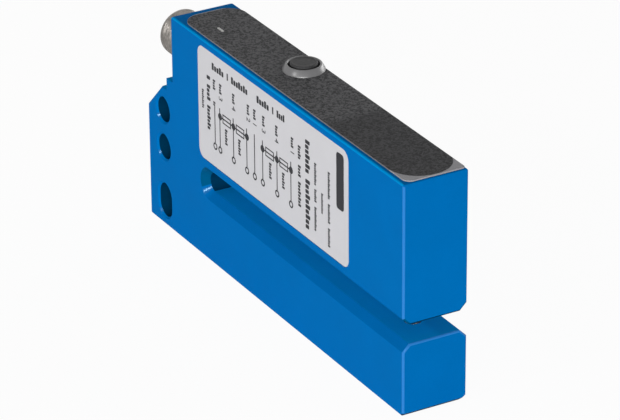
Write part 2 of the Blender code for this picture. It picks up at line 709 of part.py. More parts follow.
def main_board():
    notch_x = POCKET_BACK + WIRE_NOTCH_LENGTH
    notch_z = BOARD_FOOT + WIRE_NOTCH_HEIGHT
    receiver_x = BEAM_X - RECEIVER_SIZE.x / 2 - 2 * WINDOW_RIM
    receiver_z = RECEIVER_FOOT + RECEIVER_SIZE.z + SEAT
    outline = [(BOARD_BACK, notch_z), (notch_x, notch_z), (notch_x, BOARD_FOOT),
               (receiver_x, BOARD_FOOT), (receiver_x, receiver_z), (BOARD_FRONT, receiver_z),
               (BOARD_FRONT, BOARD_TOP), (BOARD_BACK, BOARD_TOP)]
    return upright_plate("main_board", outline, -BOARD_HALF, BOARD_HALF, BOARD_GREEN)


def chip(name, size, x, row, side, mat=CHIP_BLACK, legs=0):
    """A component on one side of the board, on legs along its upper and lower edges."""
    z = BOARD_FOOT + row * (BOARD_TOP - BOARD_FOOT)
    rise = CHIP_STANDOFF if legs else 0
    y = side * (BOARD_HALF + SEAT + rise + size.y / 2)
    body = block(name, size, (x, y, z), mat, edge=MOULD_EDGE)
    feet = []
    for i in range(legs):
        leg_x = x + (i - (legs - 1) / 2) * size.x / legs
        for end in (-1, 1):
            leg_z = z + end * (size.z / 2 + CHIP_LEG.z / 4)
            leg_y = side * (BOARD_HALF + SEAT + CHIP_LEG.y / 2)
            feet.append(block("leg", CHIP_LEG, (leg_x, leg_y, leg_z), collection=CUTTERS))
    return joined(body, feet) if feet else body


def receiver_diode():
    centre = (BEAM_X, 0, RECEIVER_FOOT + RECEIVER_SIZE.z / 2)
    return block("receiver_diode", RECEIVER_SIZE, centre, CHIP_BLACK, edge=MOULD_EDGE)


def window(name, low, high, rim_low, rim_high, direction):
    """A clear plug through the metal beside the slot, with a rim inside the pocket."""
    plug = WINDOW_DIAMETER / 2
    rim = plug + WINDOW_RIM
    length = high - low
    rim_foot = length - (rim_high - rim_low)
    profile = [(0, length), (rim, length), (rim, rim_foot), (plug, rim_foot), (plug, 0), (0, 0)]
    start = low if direction > 0 else high
    return turned(name, profile, CLEAR_LENS, (BEAM_X, 0, start), (0, 0, direction),
                  sides=FINE_SIDES)


def receiver_window():
    return window("receiver_window", SLOT_TOP + WINDOW_INSET, WINDOW_RIM_TOP,
                  UPPER_FLOOR + SEAT, WINDOW_RIM_TOP, 1)


def emitter_window():
    return window("emitter_window", EMITTER_RIM_FOOT, LOWER_JAW - WINDOW_INSET,
                  EMITTER_RIM_FOOT, LOWER_CEILING - SEAT, -1)


def indicator_led():
    top = COVER_UNDERSIDE - GUIDE_DEPTH + COVER_THICKNESS - SEAT
    centre = (LAMP_X, -BOARD_HALF - SEAT - LED_SIZE.y / 2, top - LED_SIZE.z / 2)
    return block("indicator_led", LED_SIZE, centre, LED_BODY, edge=MOULD_EDGE)


def light_guide():
    return flat_plate("light_guide", lamp_opening(0.0),
                      COVER_UNDERSIDE - GUIDE_DEPTH + COVER_THICKNESS, FOIL_TOP, CLEAR_LENS)


# Emitter in the lower jaw

def emitter_board():
    width = LOWER_HALF - SEAT
    return flat_plate(
        "emitter_board",
        rectangle(POCKET_FRONT - BOARD_END_GAP - EMITTER_BOARD_LENGTH,
                  POCKET_FRONT - BOARD_END_GAP, -width, width, POCKET_ROUND),
        EMITTER_BOARD_FOOT, EMITTER_BOARD_TOP, BOARD_GREEN)


def emitter_led():
    foot = EMITTER_BOARD_TOP + SEAT
    body = block("emitter_led", EMITTER_SIZE, (BEAM_X, 0, foot + EMITTER_SIZE.z / 2), RED_LENS,
                 edge=MOULD_EDGE)
    radius = EMITTER_LENS_DIAMETER / 2
    top = foot + EMITTER_SIZE.z
    turns = [pi / 2 * i / SMALL_STEPS for i in range(SMALL_STEPS + 1)]
    dome = [(radius * sin(turn), EMITTER_LENS_RISE * cos(turn)) for turn in turns]
    profile = dome + [(radius, -EMITTER_SIZE.z / 2), (0, -EMITTER_SIZE.z / 2)]
    lens = turned("lens", profile, None, (BEAM_X, 0, top), (0, 0, 1), sides=FINE_SIDES,
                  collection=CUTTERS)
    return joined(body, [lens])


def lead_route():
    """Side view of a lead: emitter board, along the lower cover, up the channel, to the board."""
    radius = LEAD_DIAMETER / 2
    board_rear = POCKET_FRONT - BOARD_END_GAP - EMITTER_BOARD_LENGTH
    landing = EMITTER_BOARD_TOP + SEAT + radius
    run = FOOT_COVER_TOP + SEAT + radius
    entry_z = BOARD_FOOT + WIRE_NOTCH_HEIGHT / 2
    corners = [(board_rear + LEAD_LANDING, landing), (board_rear - LEAD_BEND, landing),
               (board_rear - 2 * LEAD_BEND - landing + run, run), (CHANNEL_X, run),
               (CHANNEL_X, entry_z), (POCKET_BACK + WIRE_NOTCH_LENGTH + LEAD_LANDING, entry_z)]
    points = [corners[0]]
    for before, corner, after in zip(corners, corners[1:], corners[2:]):
        points += fillet(corner, before, after, LEAD_BEND, SMALL_STEPS)
    return points + [corners[-1]]


def emitter_lead(name, side, mat):
    curve = bpy.data.curves.new(name, "CURVE")
    curve.dimensions = "3D"
    curve.bevel_depth = LEAD_DIAMETER / 2
    curve.bevel_resolution = 2
    curve.use_fill_caps = True
    route = lead_route()
    spline = curve.splines.new("POLY")
    spline.points.add(len(route) - 1)
    for vertex, (x, z) in zip(spline.points, route):
        vertex.co = (x, side * LEAD_Y, z, 1.0)
    drawn = bpy.data.objects.new(name, curve)
    PARTS.objects.link(drawn)
    mesh = evaluated_mesh(drawn)
    bpy.data.objects.remove(drawn, do_unlink=True)
    return add_object(name, mesh, mat)


# Plug connector

PLUG_BASE = Vector((BACK_X, 0, PLUG_Z))
OUTWARD = Vector((-1, 0, 0))


def connector_seal():
    inner = SHANK_DIAMETER / 2 + SEAT
    outer = inner + SEAL_WIDTH
    profile = [(inner, SEAT + SEAL_THICKNESS), (outer, SEAT + SEAL_THICKNESS), (outer, SEAT),
               (inner, SEAT)]
    return turned("connector_seal", profile, SEAL_RUBBER, PLUG_BASE, OUTWARD, closed=True)


def connector_shell():
    outer = PLUG_DIAMETER / 2
    shank = SHANK_DIAMETER / 2
    bore = PLUG_BORE / 2
    core = INSERT_DIAMETER / 2 + SEAT
    shoulder = SEAL_THICKNESS + 2 * SEAT
    inside = SEAT - REAR_WALL
    step = PLUG_LENGTH - PLUG_BORE_DEPTH
    profile = [(bore, PLUG_LENGTH), (outer - PLUG_CHAMFER, PLUG_LENGTH),
               (outer, PLUG_LENGTH - PLUG_CHAMFER), (outer, shoulder), (shank, shoulder),
               (shank, inside), (core, inside), (core, step), (bore, step)]
    return turned("connector_shell", profile, NICKEL, PLUG_BASE, OUTWARD, closed=True)


def pin_places():
    return [(y * PIN_SPREAD_Y / 2, z * PIN_SPREAD_Z / 2)
            for y, z in ((-1, 1), (1, 1), (1, -1), (-1, -1))]


def connector_insert():
    core = INSERT_DIAMETER / 2
    head = PLUG_BORE / 2 - SEAT
    step = PLUG_LENGTH - PLUG_BORE_DEPTH + SEAT
    inside = SEAT - REAR_WALL
    profile = [(0, step + INSERT_HEAD), (head, step + INSERT_HEAD), (head, step), (core, step),
               (core, inside), (0, inside)]
    insert = turned("connector_insert", profile, BLACK_PLASTIC, PLUG_BASE, OUTWARD)
    for i, (y, z) in enumerate(pin_places(), 1):
        cut(insert, rod(f"pin bore {i}", PIN_DIAMETER + 2 * SEAT,
                        (BACK_X - PLUG_LENGTH, y, PLUG_Z + z),
                        (POCKET_BACK + PIN_TAIL, y, PLUG_Z + z), sides=FINE_SIDES,
                        collection=CUTTERS))
    return insert


def contact_pin(number, y, z):
    radius = PIN_DIAMETER / 2
    tip = PLUG_LENGTH - PIN_RECESS
    tail = -REAR_WALL - PIN_TAIL
    turns = [pi / 2 * i / SMALL_STEPS for i in range(SMALL_STEPS + 1)]
    dome = [(radius * sin(turn), tip - radius + radius * cos(turn)) for turn in turns]
    profile = dome + [(radius, tail), (0, tail)]
    return turned(f"contact_pin_{number}", profile, GOLD, PLUG_BASE + Vector((0, y, z)), OUTWARD,
                  sides=FINE_SIDES)


fork_housing()
side_label()
top_cover()
keypad_foil()
bottom_cover()
button_collar()
button_cap()
switch_plunger()
tact_switch()
main_board()
chip("controller_chip", CONTROLLER_SIZE, BOARD_FRONT - CONTROLLER_SETBACK, CHIP_ROW, -1)
chip("amplifier_chip", AMPLIFIER_SIZE, BOARD_FRONT - AMPLIFIER_SETBACK, CHIP_ROW, -1, legs=4)
chip("voltage_regulator", REGULATOR_SIZE, BOARD_BACK + REGULATOR_REACH, POWER_ROW, 1, legs=3)
for number in (1, 2):
    chip(f"output_transistor_{number}", TRANSISTOR_SIZE,
         BOARD_BACK + TRANSISTOR_REACH + (number - 1) * TRANSISTOR_PITCH, CHIP_ROW, 1, legs=2)
chip("supply_capacitor", CAPACITOR_SIZE, BOARD_BACK + CAPACITOR_REACH, POWER_ROW, -1,
     CAPACITOR_TAN)
receiver_diode()
receiver_window()
emitter_window()
indicator_led()
light_guide()
emitter_board()
emitter_led()
emitter_lead("emitter_lead_plus", -1, LEAD_RED)
emitter_lead("emitter_lead_minus", 1, LEAD_BLUE)
connector_seal()
connector_shell()
connector_insert()
for number, (pin_y, pin_z) in enumerate(pin_places(), 1):
    contact_pin(number, pin_y, pin_z)
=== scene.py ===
"""Fork sensor: its visible pieces, finishes, lamps and camera, round the solid model."""
import json
from math import atan2, cos, pi, radians, sin, tau

import bmesh
import bpy
from mathutils import Matrix, Vector


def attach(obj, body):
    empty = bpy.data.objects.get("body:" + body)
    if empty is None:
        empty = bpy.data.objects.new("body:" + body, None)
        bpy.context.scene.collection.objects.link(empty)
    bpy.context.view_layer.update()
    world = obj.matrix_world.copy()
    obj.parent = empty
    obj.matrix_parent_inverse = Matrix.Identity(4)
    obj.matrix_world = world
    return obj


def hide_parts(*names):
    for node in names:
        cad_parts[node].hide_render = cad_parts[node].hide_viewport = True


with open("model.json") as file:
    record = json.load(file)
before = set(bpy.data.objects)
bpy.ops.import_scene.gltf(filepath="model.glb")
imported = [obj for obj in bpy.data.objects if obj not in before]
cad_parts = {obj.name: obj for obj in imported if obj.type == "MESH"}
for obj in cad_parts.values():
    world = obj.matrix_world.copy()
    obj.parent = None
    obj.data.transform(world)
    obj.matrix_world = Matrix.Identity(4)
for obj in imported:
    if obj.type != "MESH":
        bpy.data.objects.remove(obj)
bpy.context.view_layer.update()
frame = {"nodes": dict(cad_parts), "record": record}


# Camera.
# A long lens looks down along the fork from its open end, on the labelled side, as the
# photograph does. The angles were solved from the photograph's straight edges.
IMAGE_WIDTH = 620
FOCAL_PIXELS = 3989.8
SENSOR_WIDTH = 36.0
CAMERA_PLACE = Vector((0.45476, -0.25645, 0.27106))
CAMERA_AZIMUTH = radians(60.429)
CAMERA_ELEVATION = radians(26.126)
CAMERA_ROLL = radians(-0.427)
NEAREST, FURTHEST = 0.02, 20.0

sight = Vector((-sin(CAMERA_AZIMUTH) * cos(CAMERA_ELEVATION),
                cos(CAMERA_AZIMUTH) * cos(CAMERA_ELEVATION), -sin(CAMERA_ELEVATION)))
level = Vector((cos(CAMERA_AZIMUTH), sin(CAMERA_AZIMUTH), 0.0))
upright = level.cross(sight)
across = level * cos(CAMERA_ROLL) + upright * sin(CAMERA_ROLL)
upright = upright * cos(CAMERA_ROLL) - level * sin(CAMERA_ROLL)
bpy.ops.object.camera_add(location=CAMERA_PLACE)
camera = bpy.context.object
camera.name = "photo_camera"
camera.rotation_euler = Matrix((across, upright, -sight)).transposed().to_euler()
camera.data.sensor_width = SENSOR_WIDTH
camera.data.lens = FOCAL_PIXELS / IMAGE_WIDTH * SENSOR_WIDTH
camera.data.clip_start = NEAREST
camera.data.clip_end = FURTHEST
bpy.context.scene.camera = camera
bpy.context.scene.view_settings.view_transform = "Standard"


# Studio.
# A white sweep: a matt table that keeps a faint shadow, a white room behind it, a broad soft
# lamp low beside the camera, a small one higher on the side, which gives the glints, and a
# weak one for the far side.
MM = 0.001
TABLE_HALF = 1.5
TABLE_DROP = 0.02 * MM
TABLE_WHITE = (0.86, 0.86, 0.86, 1.0)
TABLE_GLOW = 0.955
ROOM_LIGHT = 0.26
LAMPS = {                                      # place, width, height and power
    "key_lamp": ((1.05, -0.85, 0.24), 1.1, 0.34, 16.7),
    "side_lamp": ((0.11, -1.03, 0.62), 0.1, 0.1, 2.1),
    "back_lamp": ((-0.3, 1.3, 0.25), 0.9, 0.3, 6.0),
}
LAMPS_AIM = Vector((0, 0, 0.02))


def seen_directly(nodes, links):
    """Camera, glossy and transmission rays as one factor, which see the plain background."""
    path = nodes.new("ShaderNodeLightPath")
    total = path.outputs["Is Camera Ray"]
    for ray in ("Is Glossy Ray", "Is Transmission Ray"):
        either = nodes.new("ShaderNodeMath")
        either.operation = "MAXIMUM"
        links.new(total, either.inputs[0])
        links.new(path.outputs[ray], either.inputs[1])
        total = either.outputs[0]
    return total


world = bpy.data.worlds.new("white_room")
bpy.context.scene.world = world
world.use_nodes = True
nodes, links = world.node_tree.nodes, world.node_tree.links
room = nodes["Background"]
room.inputs["Strength"].default_value = ROOM_LIGHT
white = nodes.new("ShaderNodeBackground")
white.inputs["Color"].default_value = (1.0, 1.0, 1.0, 1.0)
room.inputs["Color"].default_value = (1.0, 1.0, 1.0, 1.0)
swap = nodes.new("ShaderNodeMixShader")
links.new(seen_directly(nodes, links), swap.inputs["Fac"])
links.new(room.outputs[0], swap.inputs[1])
links.new(white.outputs[0], swap.inputs[2])
links.new(swap.outputs[0], nodes["World Output"].inputs["Surface"])

bpy.ops.mesh.primitive_plane_add(size=2 * TABLE_HALF, location=(0, 0, -TABLE_DROP))
table = bpy.context.object
table.name = "table"
table_paint = bpy.data.materials.new("matt_white_table")
table_paint.use_nodes = True
nodes, links = table_paint.node_tree.nodes, table_paint.node_tree.links
nodes.remove(nodes["Principled BSDF"])
matt = nodes.new("ShaderNodeBsdfDiffuse")
matt.inputs["Color"].default_value = TABLE_WHITE
glow = nodes.new("ShaderNodeEmission")
share = nodes.new("ShaderNodeMath")
share.operation = "MULTIPLY"
share.inputs[1].default_value = TABLE_GLOW
links.new(seen_directly(nodes, links), share.inputs[0])
blend = nodes.new("ShaderNodeMixShader")
links.new(share.outputs[0], blend.inputs["Fac"])
links.new(matt.outputs[0], blend.inputs[1])
links.new(glow.outputs[0], blend.inputs[2])
links.new(blend.outputs[0], nodes["Material Output"].inputs["Surface"])
table.data.materials.append(table_paint)

for name, (place, width, height, power) in LAMPS.items():
    aim = (LAMPS_AIM - Vector(place)).to_track_quat("-Z", "Y").to_euler()
    bpy.ops.object.light_add(type="AREA", location=place, rotation=aim)
    light = bpy.context.object
    light.name = name
    light.data.shape = "RECTANGLE"
    light.data.size = width
    light.data.size_y = height
    light.data.energy = power


# Fork housing.
# One piece of aluminium, milled to a slim fork and painted a deep satin blue. Its edges are
# broken by a fine chamfer, and those that face the lamp show pale lines: partly their own gloss,
# partly a painted highlight, a lighter blue on those faces.
HOUSING_LENGTH = 75.4
HOUSING_HEIGHT = 35.9
FRONT_X = HOUSING_LENGTH / 2
FLANGE_X = -HOUSING_LENGTH / 2
BACK_X = -30.0
SIDE_Y = 5.2
LEDGES = ((BACK_X, 25.1), (-31.45, 23.15))     # each step's front plane and its height
SLOPE_START = (-33.1, 23.15)
SLOPE_END = (FLANGE_X, 18.3)
SLOT_END = -20.0
SLOT_LOW = 11.25
SLOT_RADIUS = 1.5
SLOT_CHAMFER = 1.1
SLOT_FLARE = 1.0                               # how far the cutter goes on past each side
SLOT_OVERRUN = 6.0                             # and how far past the front
SLOT_STEPS = 24
NEAR_ROUND = 0.7
FAR_ROUND = 0.9
TOP_BACK_ROUND = 1.0
FOOT_CHAMFER = (1.3, 0.7)                      # along the far foot edge: across and up
FOOT_EDGE = 0.5                                # chamfer below the front face
EDGE_BREAK = 0.28
HOLE_X = -32.9
HOLE_DIAMETER = 4.0
HOLES = ((19.3, 0.0), (13.1, 0.0), (4.1, 1.5))  # height of each hole, and how far it is stretched
COUNTERSINK = 0.3
HOLE_FLARE = 0.5
HOLE_STEPS = 16
PAST = 1.0                                     # how far a cutter starts outside the metal
CORNER_ROD = (20, 40)                          # the rods that leave the rear roundings
TOP_ROD = (-9, 9)
ROUND_SEGMENTS = 64
POCKET_BACK = -25.0
POCKET_FRONT = 34.9
UPPER_POCKET = (3.3, 17.45, 34.6)              # half width, floor and cover seat
LOWER_POCKET = (2.8, 8.05, 1.6)
COVER_LEDGE = 0.7
POCKET_ROUND = 0.8
CHANNEL_BACK = -24.98
CHANNEL_FRONT = -22.2
CHANNEL_HALF = 1.8
BEAM_X = 31.7
BEAM_BORE = 2.6
PLUG_Z = 29.8
PLUG_BORE = 6.8
LABEL_BOX = (-21.45, 22.85, 16.45, 34.75)      # x from and to, z from and to
LABEL_RECESS = 0.25
LABEL_ROUND = 1.55
HAIR = 1e-5                                    # in metres: nearer than this lies on a plane
EDGE_ZONE = 0.4                                # how near an edge its broken faces lie
GLINT_X, GLINT_Z, GLINT_SPREAD = 0.474, 0.523, 0.11
BLUE_SHEEN = (0.0, 0.35, 1.0)


def select_only(obj):
    """The one selected and active object, as a click would leave it."""
    bpy.ops.object.select_all(action="DESELECT")
    obj.select_set(True)
    bpy.context.view_layer.objects.active = obj


def pick(obj, kind, test):
    """Edit mode, with only those faces, edges or points selected that pass the test."""
    select_only(obj)
    bpy.ops.object.mode_set(mode="EDIT")
    bpy.ops.mesh.select_mode(type=kind)
    bpy.ops.mesh.select_all(action="DESELECT")
    bm = bmesh.from_edit_mesh(obj.data)
    for part in {"VERT": bm.verts, "EDGE": bm.edges, "FACE": bm.faces}[kind]:
        part.select_set(test(part))
    bmesh.update_edit_mesh(obj.data)


def leave_edit():
    bpy.ops.object.mode_set(mode="OBJECT")


def settle(obj):
    """The object's place goes into its mesh, so that the object itself sits at the origin."""
    select_only(obj)
    bpy.ops.object.transform_apply(location=True, rotation=True, scale=True)


def mend(obj):
    """Doubled points merged and every face turned outwards."""
    pick(obj, "VERT", lambda vert: True)
    bpy.ops.mesh.remove_doubles(threshold=0.0008 * MM)
    bpy.ops.mesh.normals_make_consistent(inside=False)
    leave_edit()


def block(name, low, high):
    """A rectangular block between two corners given in millimetres."""
    low, high = Vector(low) * MM, Vector(high) * MM
    bpy.ops.object.select_all(action="DESELECT")
    bpy.ops.mesh.primitive_cube_add(size=1, location=(low + high) / 2, scale=high - low)
    obj = bpy.context.object
    obj.name = obj.data.name = name
    settle(obj)
    return obj


def edge_along(edge, axis):
    """Whether an edge runs along one axis, 0 to 2 for X to Z."""
    run = edge.verts[1].co - edge.verts[0].co
    return abs(abs(run[axis]) - run.length) < 0.001 * MM and run.length > 0.01 * MM


def round_edges(obj, test, radius, segments):
    """The edges that pass the test rounded off, as a corner-rounding mill would."""
    pick(obj, "EDGE", test)
    bpy.ops.mesh.bevel(offset=radius * MM, segments=segments, profile=0.5, clamp_overlap=False)
    leave_edit()
    mend(obj)


def rounded_block(name, low, high, radius, axis, segments=10):
    """A block whose four edges along one axis are rounded."""
    obj = block(name, low, high)
    round_edges(obj, lambda edge: edge_along(edge, axis), radius, segments)
    return obj


def rod(name, start, end, diameter, segments=ROUND_SEGMENTS):
    """A round bar between two points in millimetres."""
    start, end = Vector(start) * MM, Vector(end) * MM
    turn = (end - start).to_track_quat("Z", "Y").to_euler()
    bpy.ops.object.select_all(action="DESELECT")
    bpy.ops.mesh.primitive_cylinder_add(vertices=segments, radius=diameter / 2 * MM,
                                        depth=(end - start).length, location=(start + end) / 2,
                                        rotation=turn)
    obj = bpy.context.object
    obj.name = obj.data.name = name
    settle(obj)
    return obj


def carve(target, tool):
    """The tool's shape taken away from the target, and the tool then thrown away."""
    modifier = target.modifiers.new("carve", "BOOLEAN")
    modifier.operation = "DIFFERENCE"
    modifier.solver = "EXACT"
    modifier.object = tool
    select_only(target)
    bpy.ops.object.modifier_apply(modifier=modifier.name)
    bpy.data.objects.remove(tool, do_unlink=True)
    return target


def break_edges(obj, width, segments, angle, material=-1, leave=None):
    """A small rounded bevel along every edge that is sharper than the angle."""
    pick(obj, "EDGE", lambda edge: edge.is_convex and edge.calc_face_angle() > radians(angle)
         and not (leave and any(leave(vert.co) for vert in edge.verts)))
    bpy.ops.mesh.bevel(offset=width * MM, segments=segments, profile=0.5, clamp_overlap=False,
                       material=material)
    leave_edit()
    mend(obj)


def recolour(obj, test, index):
    """The faces that pass the test take another of the piece's finishes."""
    pick(obj, "FACE", test)
    obj.active_material_index = index
    bpy.ops.object.material_slot_assign()
    leave_edit()


def smooth(obj, angle=32):
    """Round surfaces shaded smoothly, flat ones kept flat."""
    select_only(obj)
    bpy.ops.object.shade_smooth_by_angle(angle=radians(angle))
    modifier = obj.modifiers.new("flat faces first", "WEIGHTED_NORMAL")
    modifier.keep_sharp = True
    modifier.weight = 100
    bpy.ops.object.modifier_apply(modifier=modifier.name)


def finish(name, colour, spread, roughness, grain, bump, metallic=0.0, specular=0.5, coarse=6.0,
           clear=0.0, sheen_tint=(1.0, 1.0, 1.0)):
    """A node material: speckled and gently clouded colour over a fine raised grain."""
    mat = bpy.data.materials.new(name)
    mat.use_nodes = True
    nodes, links = mat.node_tree.nodes, mat.node_tree.links
    shader = nodes["Principled BSDF"]
    shader.inputs["Metallic"].default_value = metallic
    shader.inputs["Specular IOR Level"].default_value = specular
    shader.inputs["Specular Tint"].default_value = (*sheen_tint, 1.0)
    shader.inputs["Transmission Weight"].default_value = clear
    place = nodes.new("ShaderNodeTexCoord")
    fine = nodes.new("ShaderNodeTexNoise")
    fine.inputs["Scale"].default_value = 1 / (grain * MM)
    fine.inputs["Detail"].default_value = 3.0
    cloud = nodes.new("ShaderNodeTexNoise")
    cloud.inputs["Scale"].default_value = 1 / (coarse * MM)
    cloud.inputs["Detail"].default_value = 2.0
    for noise in (fine, cloud):
        links.new(place.outputs["Object"], noise.inputs["Vector"])
    both = nodes.new("ShaderNodeMath")
    both.operation = "ADD"
    links.new(fine.outputs["Fac"], both.inputs[0])
    links.new(cloud.outputs["Fac"], both.inputs[1])
    tone = nodes.new("ShaderNodeMapRange")
    tone.inputs["From Min"].default_value = 0.6
    tone.inputs["From Max"].default_value = 1.4
    links.new(both.outputs[0], tone.inputs["Value"])
    shade = nodes.new("ShaderNodeMix")
    shade.data_type = "RGBA"
    shade.inputs["A"].default_value = (*(c * (1 - spread) for c in colour), 1.0)
    shade.inputs["B"].default_value = (*(min(1.0, c * (1 + spread)) for c in colour), 1.0)
    links.new(tone.outputs["Result"], shade.inputs["Factor"])
    links.new(shade.outputs["Result"], shader.inputs["Base Color"])
    worn = nodes.new("ShaderNodeMapRange")
    worn.inputs["To Min"].default_value = roughness * 0.85
    worn.inputs["To Max"].default_value = min(1.0, roughness * 1.15)
    links.new(cloud.outputs["Fac"], worn.inputs["Value"])
    links.new(worn.outputs["Result"], shader.inputs["Roughness"])
    raised = nodes.new("ShaderNodeBump")
    raised.inputs["Strength"].default_value = bump
    raised.inputs["Distance"].default_value = 0.02 * MM
    links.new(fine.outputs["Fac"], raised.inputs["Height"])
    links.new(raised.outputs["Normal"], shader.inputs["Normal"])
    return mat


def fit(obj, body, slot, *nodes):
    """Tells the frame what the piece moves with and the solids it stands for; the slot, its
    finish, is not used.
    """
    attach(obj, body)
    if nodes:
        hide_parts(*nodes)
    return obj


def flare_sides(tool, middle, reach, grow):
    """Both side faces drawn out and widened, so that the tool leaves a chamfer on each side."""
    for side in (-1, 1):
        pick(tool, "FACE", lambda face: face.normal.y * side > 0.9)
        bpy.ops.mesh.extrude_region_move(
            TRANSFORM_OT_translate={"value": (0, side * reach * MM, 0)})
        bpy.ops.transform.resize(
            value=(grow[0], 1, grow[1]),
            center_override=(middle[0] * MM, side * SIDE_Y * MM, middle[1] * MM))
        leave_edit()
    mend(tool)
    return tool


housing = block("fork_housing_painted", (FLANGE_X, -SIDE_Y, 0), (FRONT_X, SIDE_Y, HOUSING_HEIGHT))
for x, z in LEDGES:
    carve(housing, block("ledge tool", (FLANGE_X - PAST, -SIDE_Y - PAST, z),
                         (x, SIDE_Y + PAST, HOUSING_HEIGHT + PAST)))
wedge = block("slope tool", (FLANGE_X - PAST, -SIDE_Y - PAST, SLOPE_END[1] - 2 * PAST),
              (SLOPE_START[0], SIDE_Y + PAST, SLOPE_START[1] + PAST))
pick(wedge, "FACE", lambda face: True)
bpy.ops.mesh.bisect(plane_co=(SLOPE_START[0] * MM, 0, SLOPE_START[1] * MM),
                    plane_no=(SLOPE_END[1] - SLOPE_START[1], 0, SLOPE_START[0] - SLOPE_END[0]),
                    use_fill=True, clear_inner=True)
leave_edit()
mend(wedge)
carve(housing, wedge)
pick(housing, "FACE", lambda face: True)
bpy.ops.mesh.bisect(plane_co=(0, SIDE_Y * MM, FOOT_CHAMFER[1] * MM),
                    plane_no=(0, FOOT_CHAMFER[1], -FOOT_CHAMFER[0]), use_fill=True,
                    clear_outer=True)
leave_edit()
mend(housing)
for side, radius in ((-1, NEAR_ROUND), (1, FAR_ROUND)):
    corner = block("corner tool", (BACK_X - PAST, side * (SIDE_Y - radius), LEDGES[0][1]),
                   (BACK_X + radius, side * (SIDE_Y + PAST), HOUSING_HEIGHT + PAST))
    mend(corner)
    carve(corner, rod("kept round", (BACK_X + radius, side * (SIDE_Y - radius), CORNER_ROD[0]),
                      (BACK_X + radius, side * (SIDE_Y - radius), CORNER_ROD[1]), 2 * radius))
    carve(housing, corner)
corner = block("corner tool", (BACK_X - PAST, -SIDE_Y - PAST, HOUSING_HEIGHT - TOP_BACK_ROUND),
               (BACK_X + TOP_BACK_ROUND, SIDE_Y + PAST, HOUSING_HEIGHT + PAST))
centre = (BACK_X + TOP_BACK_ROUND, HOUSING_HEIGHT - TOP_BACK_ROUND)
carve(corner, rod("kept round", (centre[0], TOP_ROD[0], centre[1]),
                  (centre[0], TOP_ROD[1], centre[1]), 2 * TOP_BACK_ROUND))
carve(housing, corner)
slot = block("slot tool", (SLOT_END, SLOT_CHAMFER - SIDE_Y, SLOT_LOW),
             (FRONT_X + SLOT_OVERRUN, SIDE_Y - SLOT_CHAMFER, SLOT_LOW + 2 * SLOT_RADIUS))
round_edges(slot, lambda edge: edge_along(edge, 1) and edge.verts[0].co.x < 0,
            SLOT_RADIUS, SLOT_STEPS)
reach = SLOT_CHAMFER + SLOT_FLARE
carve(housing, flare_sides(slot, (SLOT_END + SLOT_RADIUS, SLOT_LOW + SLOT_RADIUS), reach,
                           ((SLOT_RADIUS + reach) / SLOT_RADIUS,) * 2))
housing.data.materials.clear()
for paint in (
        finish("satin_blue_paint", (0.0, 0.148, 0.455), 0.045, 0.46, 0.16, 0.18, specular=0.006,
               sheen_tint=BLUE_SHEEN),
        # painted highlight: a lighter blue with a little more gloss, for broken edges that face
        # the lamp
        finish("blue_paint_with_painted_highlight_on_edges", (0.022, 0.195, 0.55), 0.06, 0.34, 0.16, 0.1, specular=0.1),
        # painted shade: a near-black blue for the bore walls, the slot's end wall and the foot
        # edge
        finish("dark_blue_painted_shade", (0.0, 0.038, 0.095), 0.12, 0.5, 0.16, 0.18,
               specular=0.01, sheen_tint=BLUE_SHEEN),
        # painted shade: a slightly darker copy of the blue for the slot's chamfers
        finish("blue_paint_with_painted_shade_on_chamfers", (0.0, 0.135, 0.415), 0.06, 0.46, 0.16, 0.18,
               specular=0.006, sheen_tint=BLUE_SHEEN),
        # painted light: a brighter blue for the slot's flat faces, the ledge tops and the top near
        # edge
        finish("bright_blue_painted_light", (0.0, 0.255, 0.62), 0.05, 0.5, 0.16, 0.18,
               specular=0.006, sheen_tint=BLUE_SHEEN),
        # painted shade: a deep blue for the chamfer faces at the slot's closed end that turn away
        finish("deep_blue_painted_shade_at_slot_end", (0.0, 0.085, 0.20), 0.08, 0.3, 0.16, 0.1,
               specular=0.01, sheen_tint=BLUE_SHEEN),
        finish("glossy_blue_paint_at_rims", (0.0, 0.125, 0.38), 0.06, 0.16, 0.3, 0.02,
               specular=0.35, sheen_tint=(0.5, 0.8, 1.0))):
    housing.data.materials.append(paint)
PLAIN, HIGHLIGHT_PAINTED_EDGES, DEEP_PAINTED_SHADE, SHADE_PAINTED_CHAMFERS, PAINTED_LIGHT, SLOT_END_PAINTED_SHADE, AT_RIMS = range(7)  # as above
round_edges(housing, lambda edge: edge_along(edge, 1) and edge.verts[0].co.z < HAIR
            and edge.verts[0].co.x > FRONT_X * MM - HAIR, FOOT_EDGE, 1)
# painted shade on the chamfer below the front face, which faces the table
recolour(housing, lambda face: face.normal.z < -0.5 and face.normal.x > 0.5
         and face.calc_center_median().z < FOOT_EDGE * MM, DEEP_PAINTED_SHADE)
break_edges(housing, EDGE_BREAK, 3, 60, material=HIGHLIGHT_PAINTED_EDGES,
            leave=lambda co: abs(co.z / MM - LEDGES[0][1]) < 0.01)
for vert in housing.data.vertices:             # the bevels may not stand out past the side faces
    vert.co.y = max(-SIDE_Y * MM, min(SIDE_Y * MM, vert.co.y))

reach = COUNTERSINK + HOLE_FLARE
for z, stretch in HOLES:
    wide, tall = HOLE_DIAMETER / 2, HOLE_DIAMETER / 2 + stretch / 2
    hole = rounded_block("hole tool", (HOLE_X - wide, COUNTERSINK - SIDE_Y, z - tall),
                         (HOLE_X + wide, SIDE_Y - COUNTERSINK, z + tall), wide - 0.001, 1,
                         HOLE_STEPS)
    carve(housing, flare_sides(hole, (HOLE_X, z), reach, (1 + reach / wide, 1 + reach / tall)))


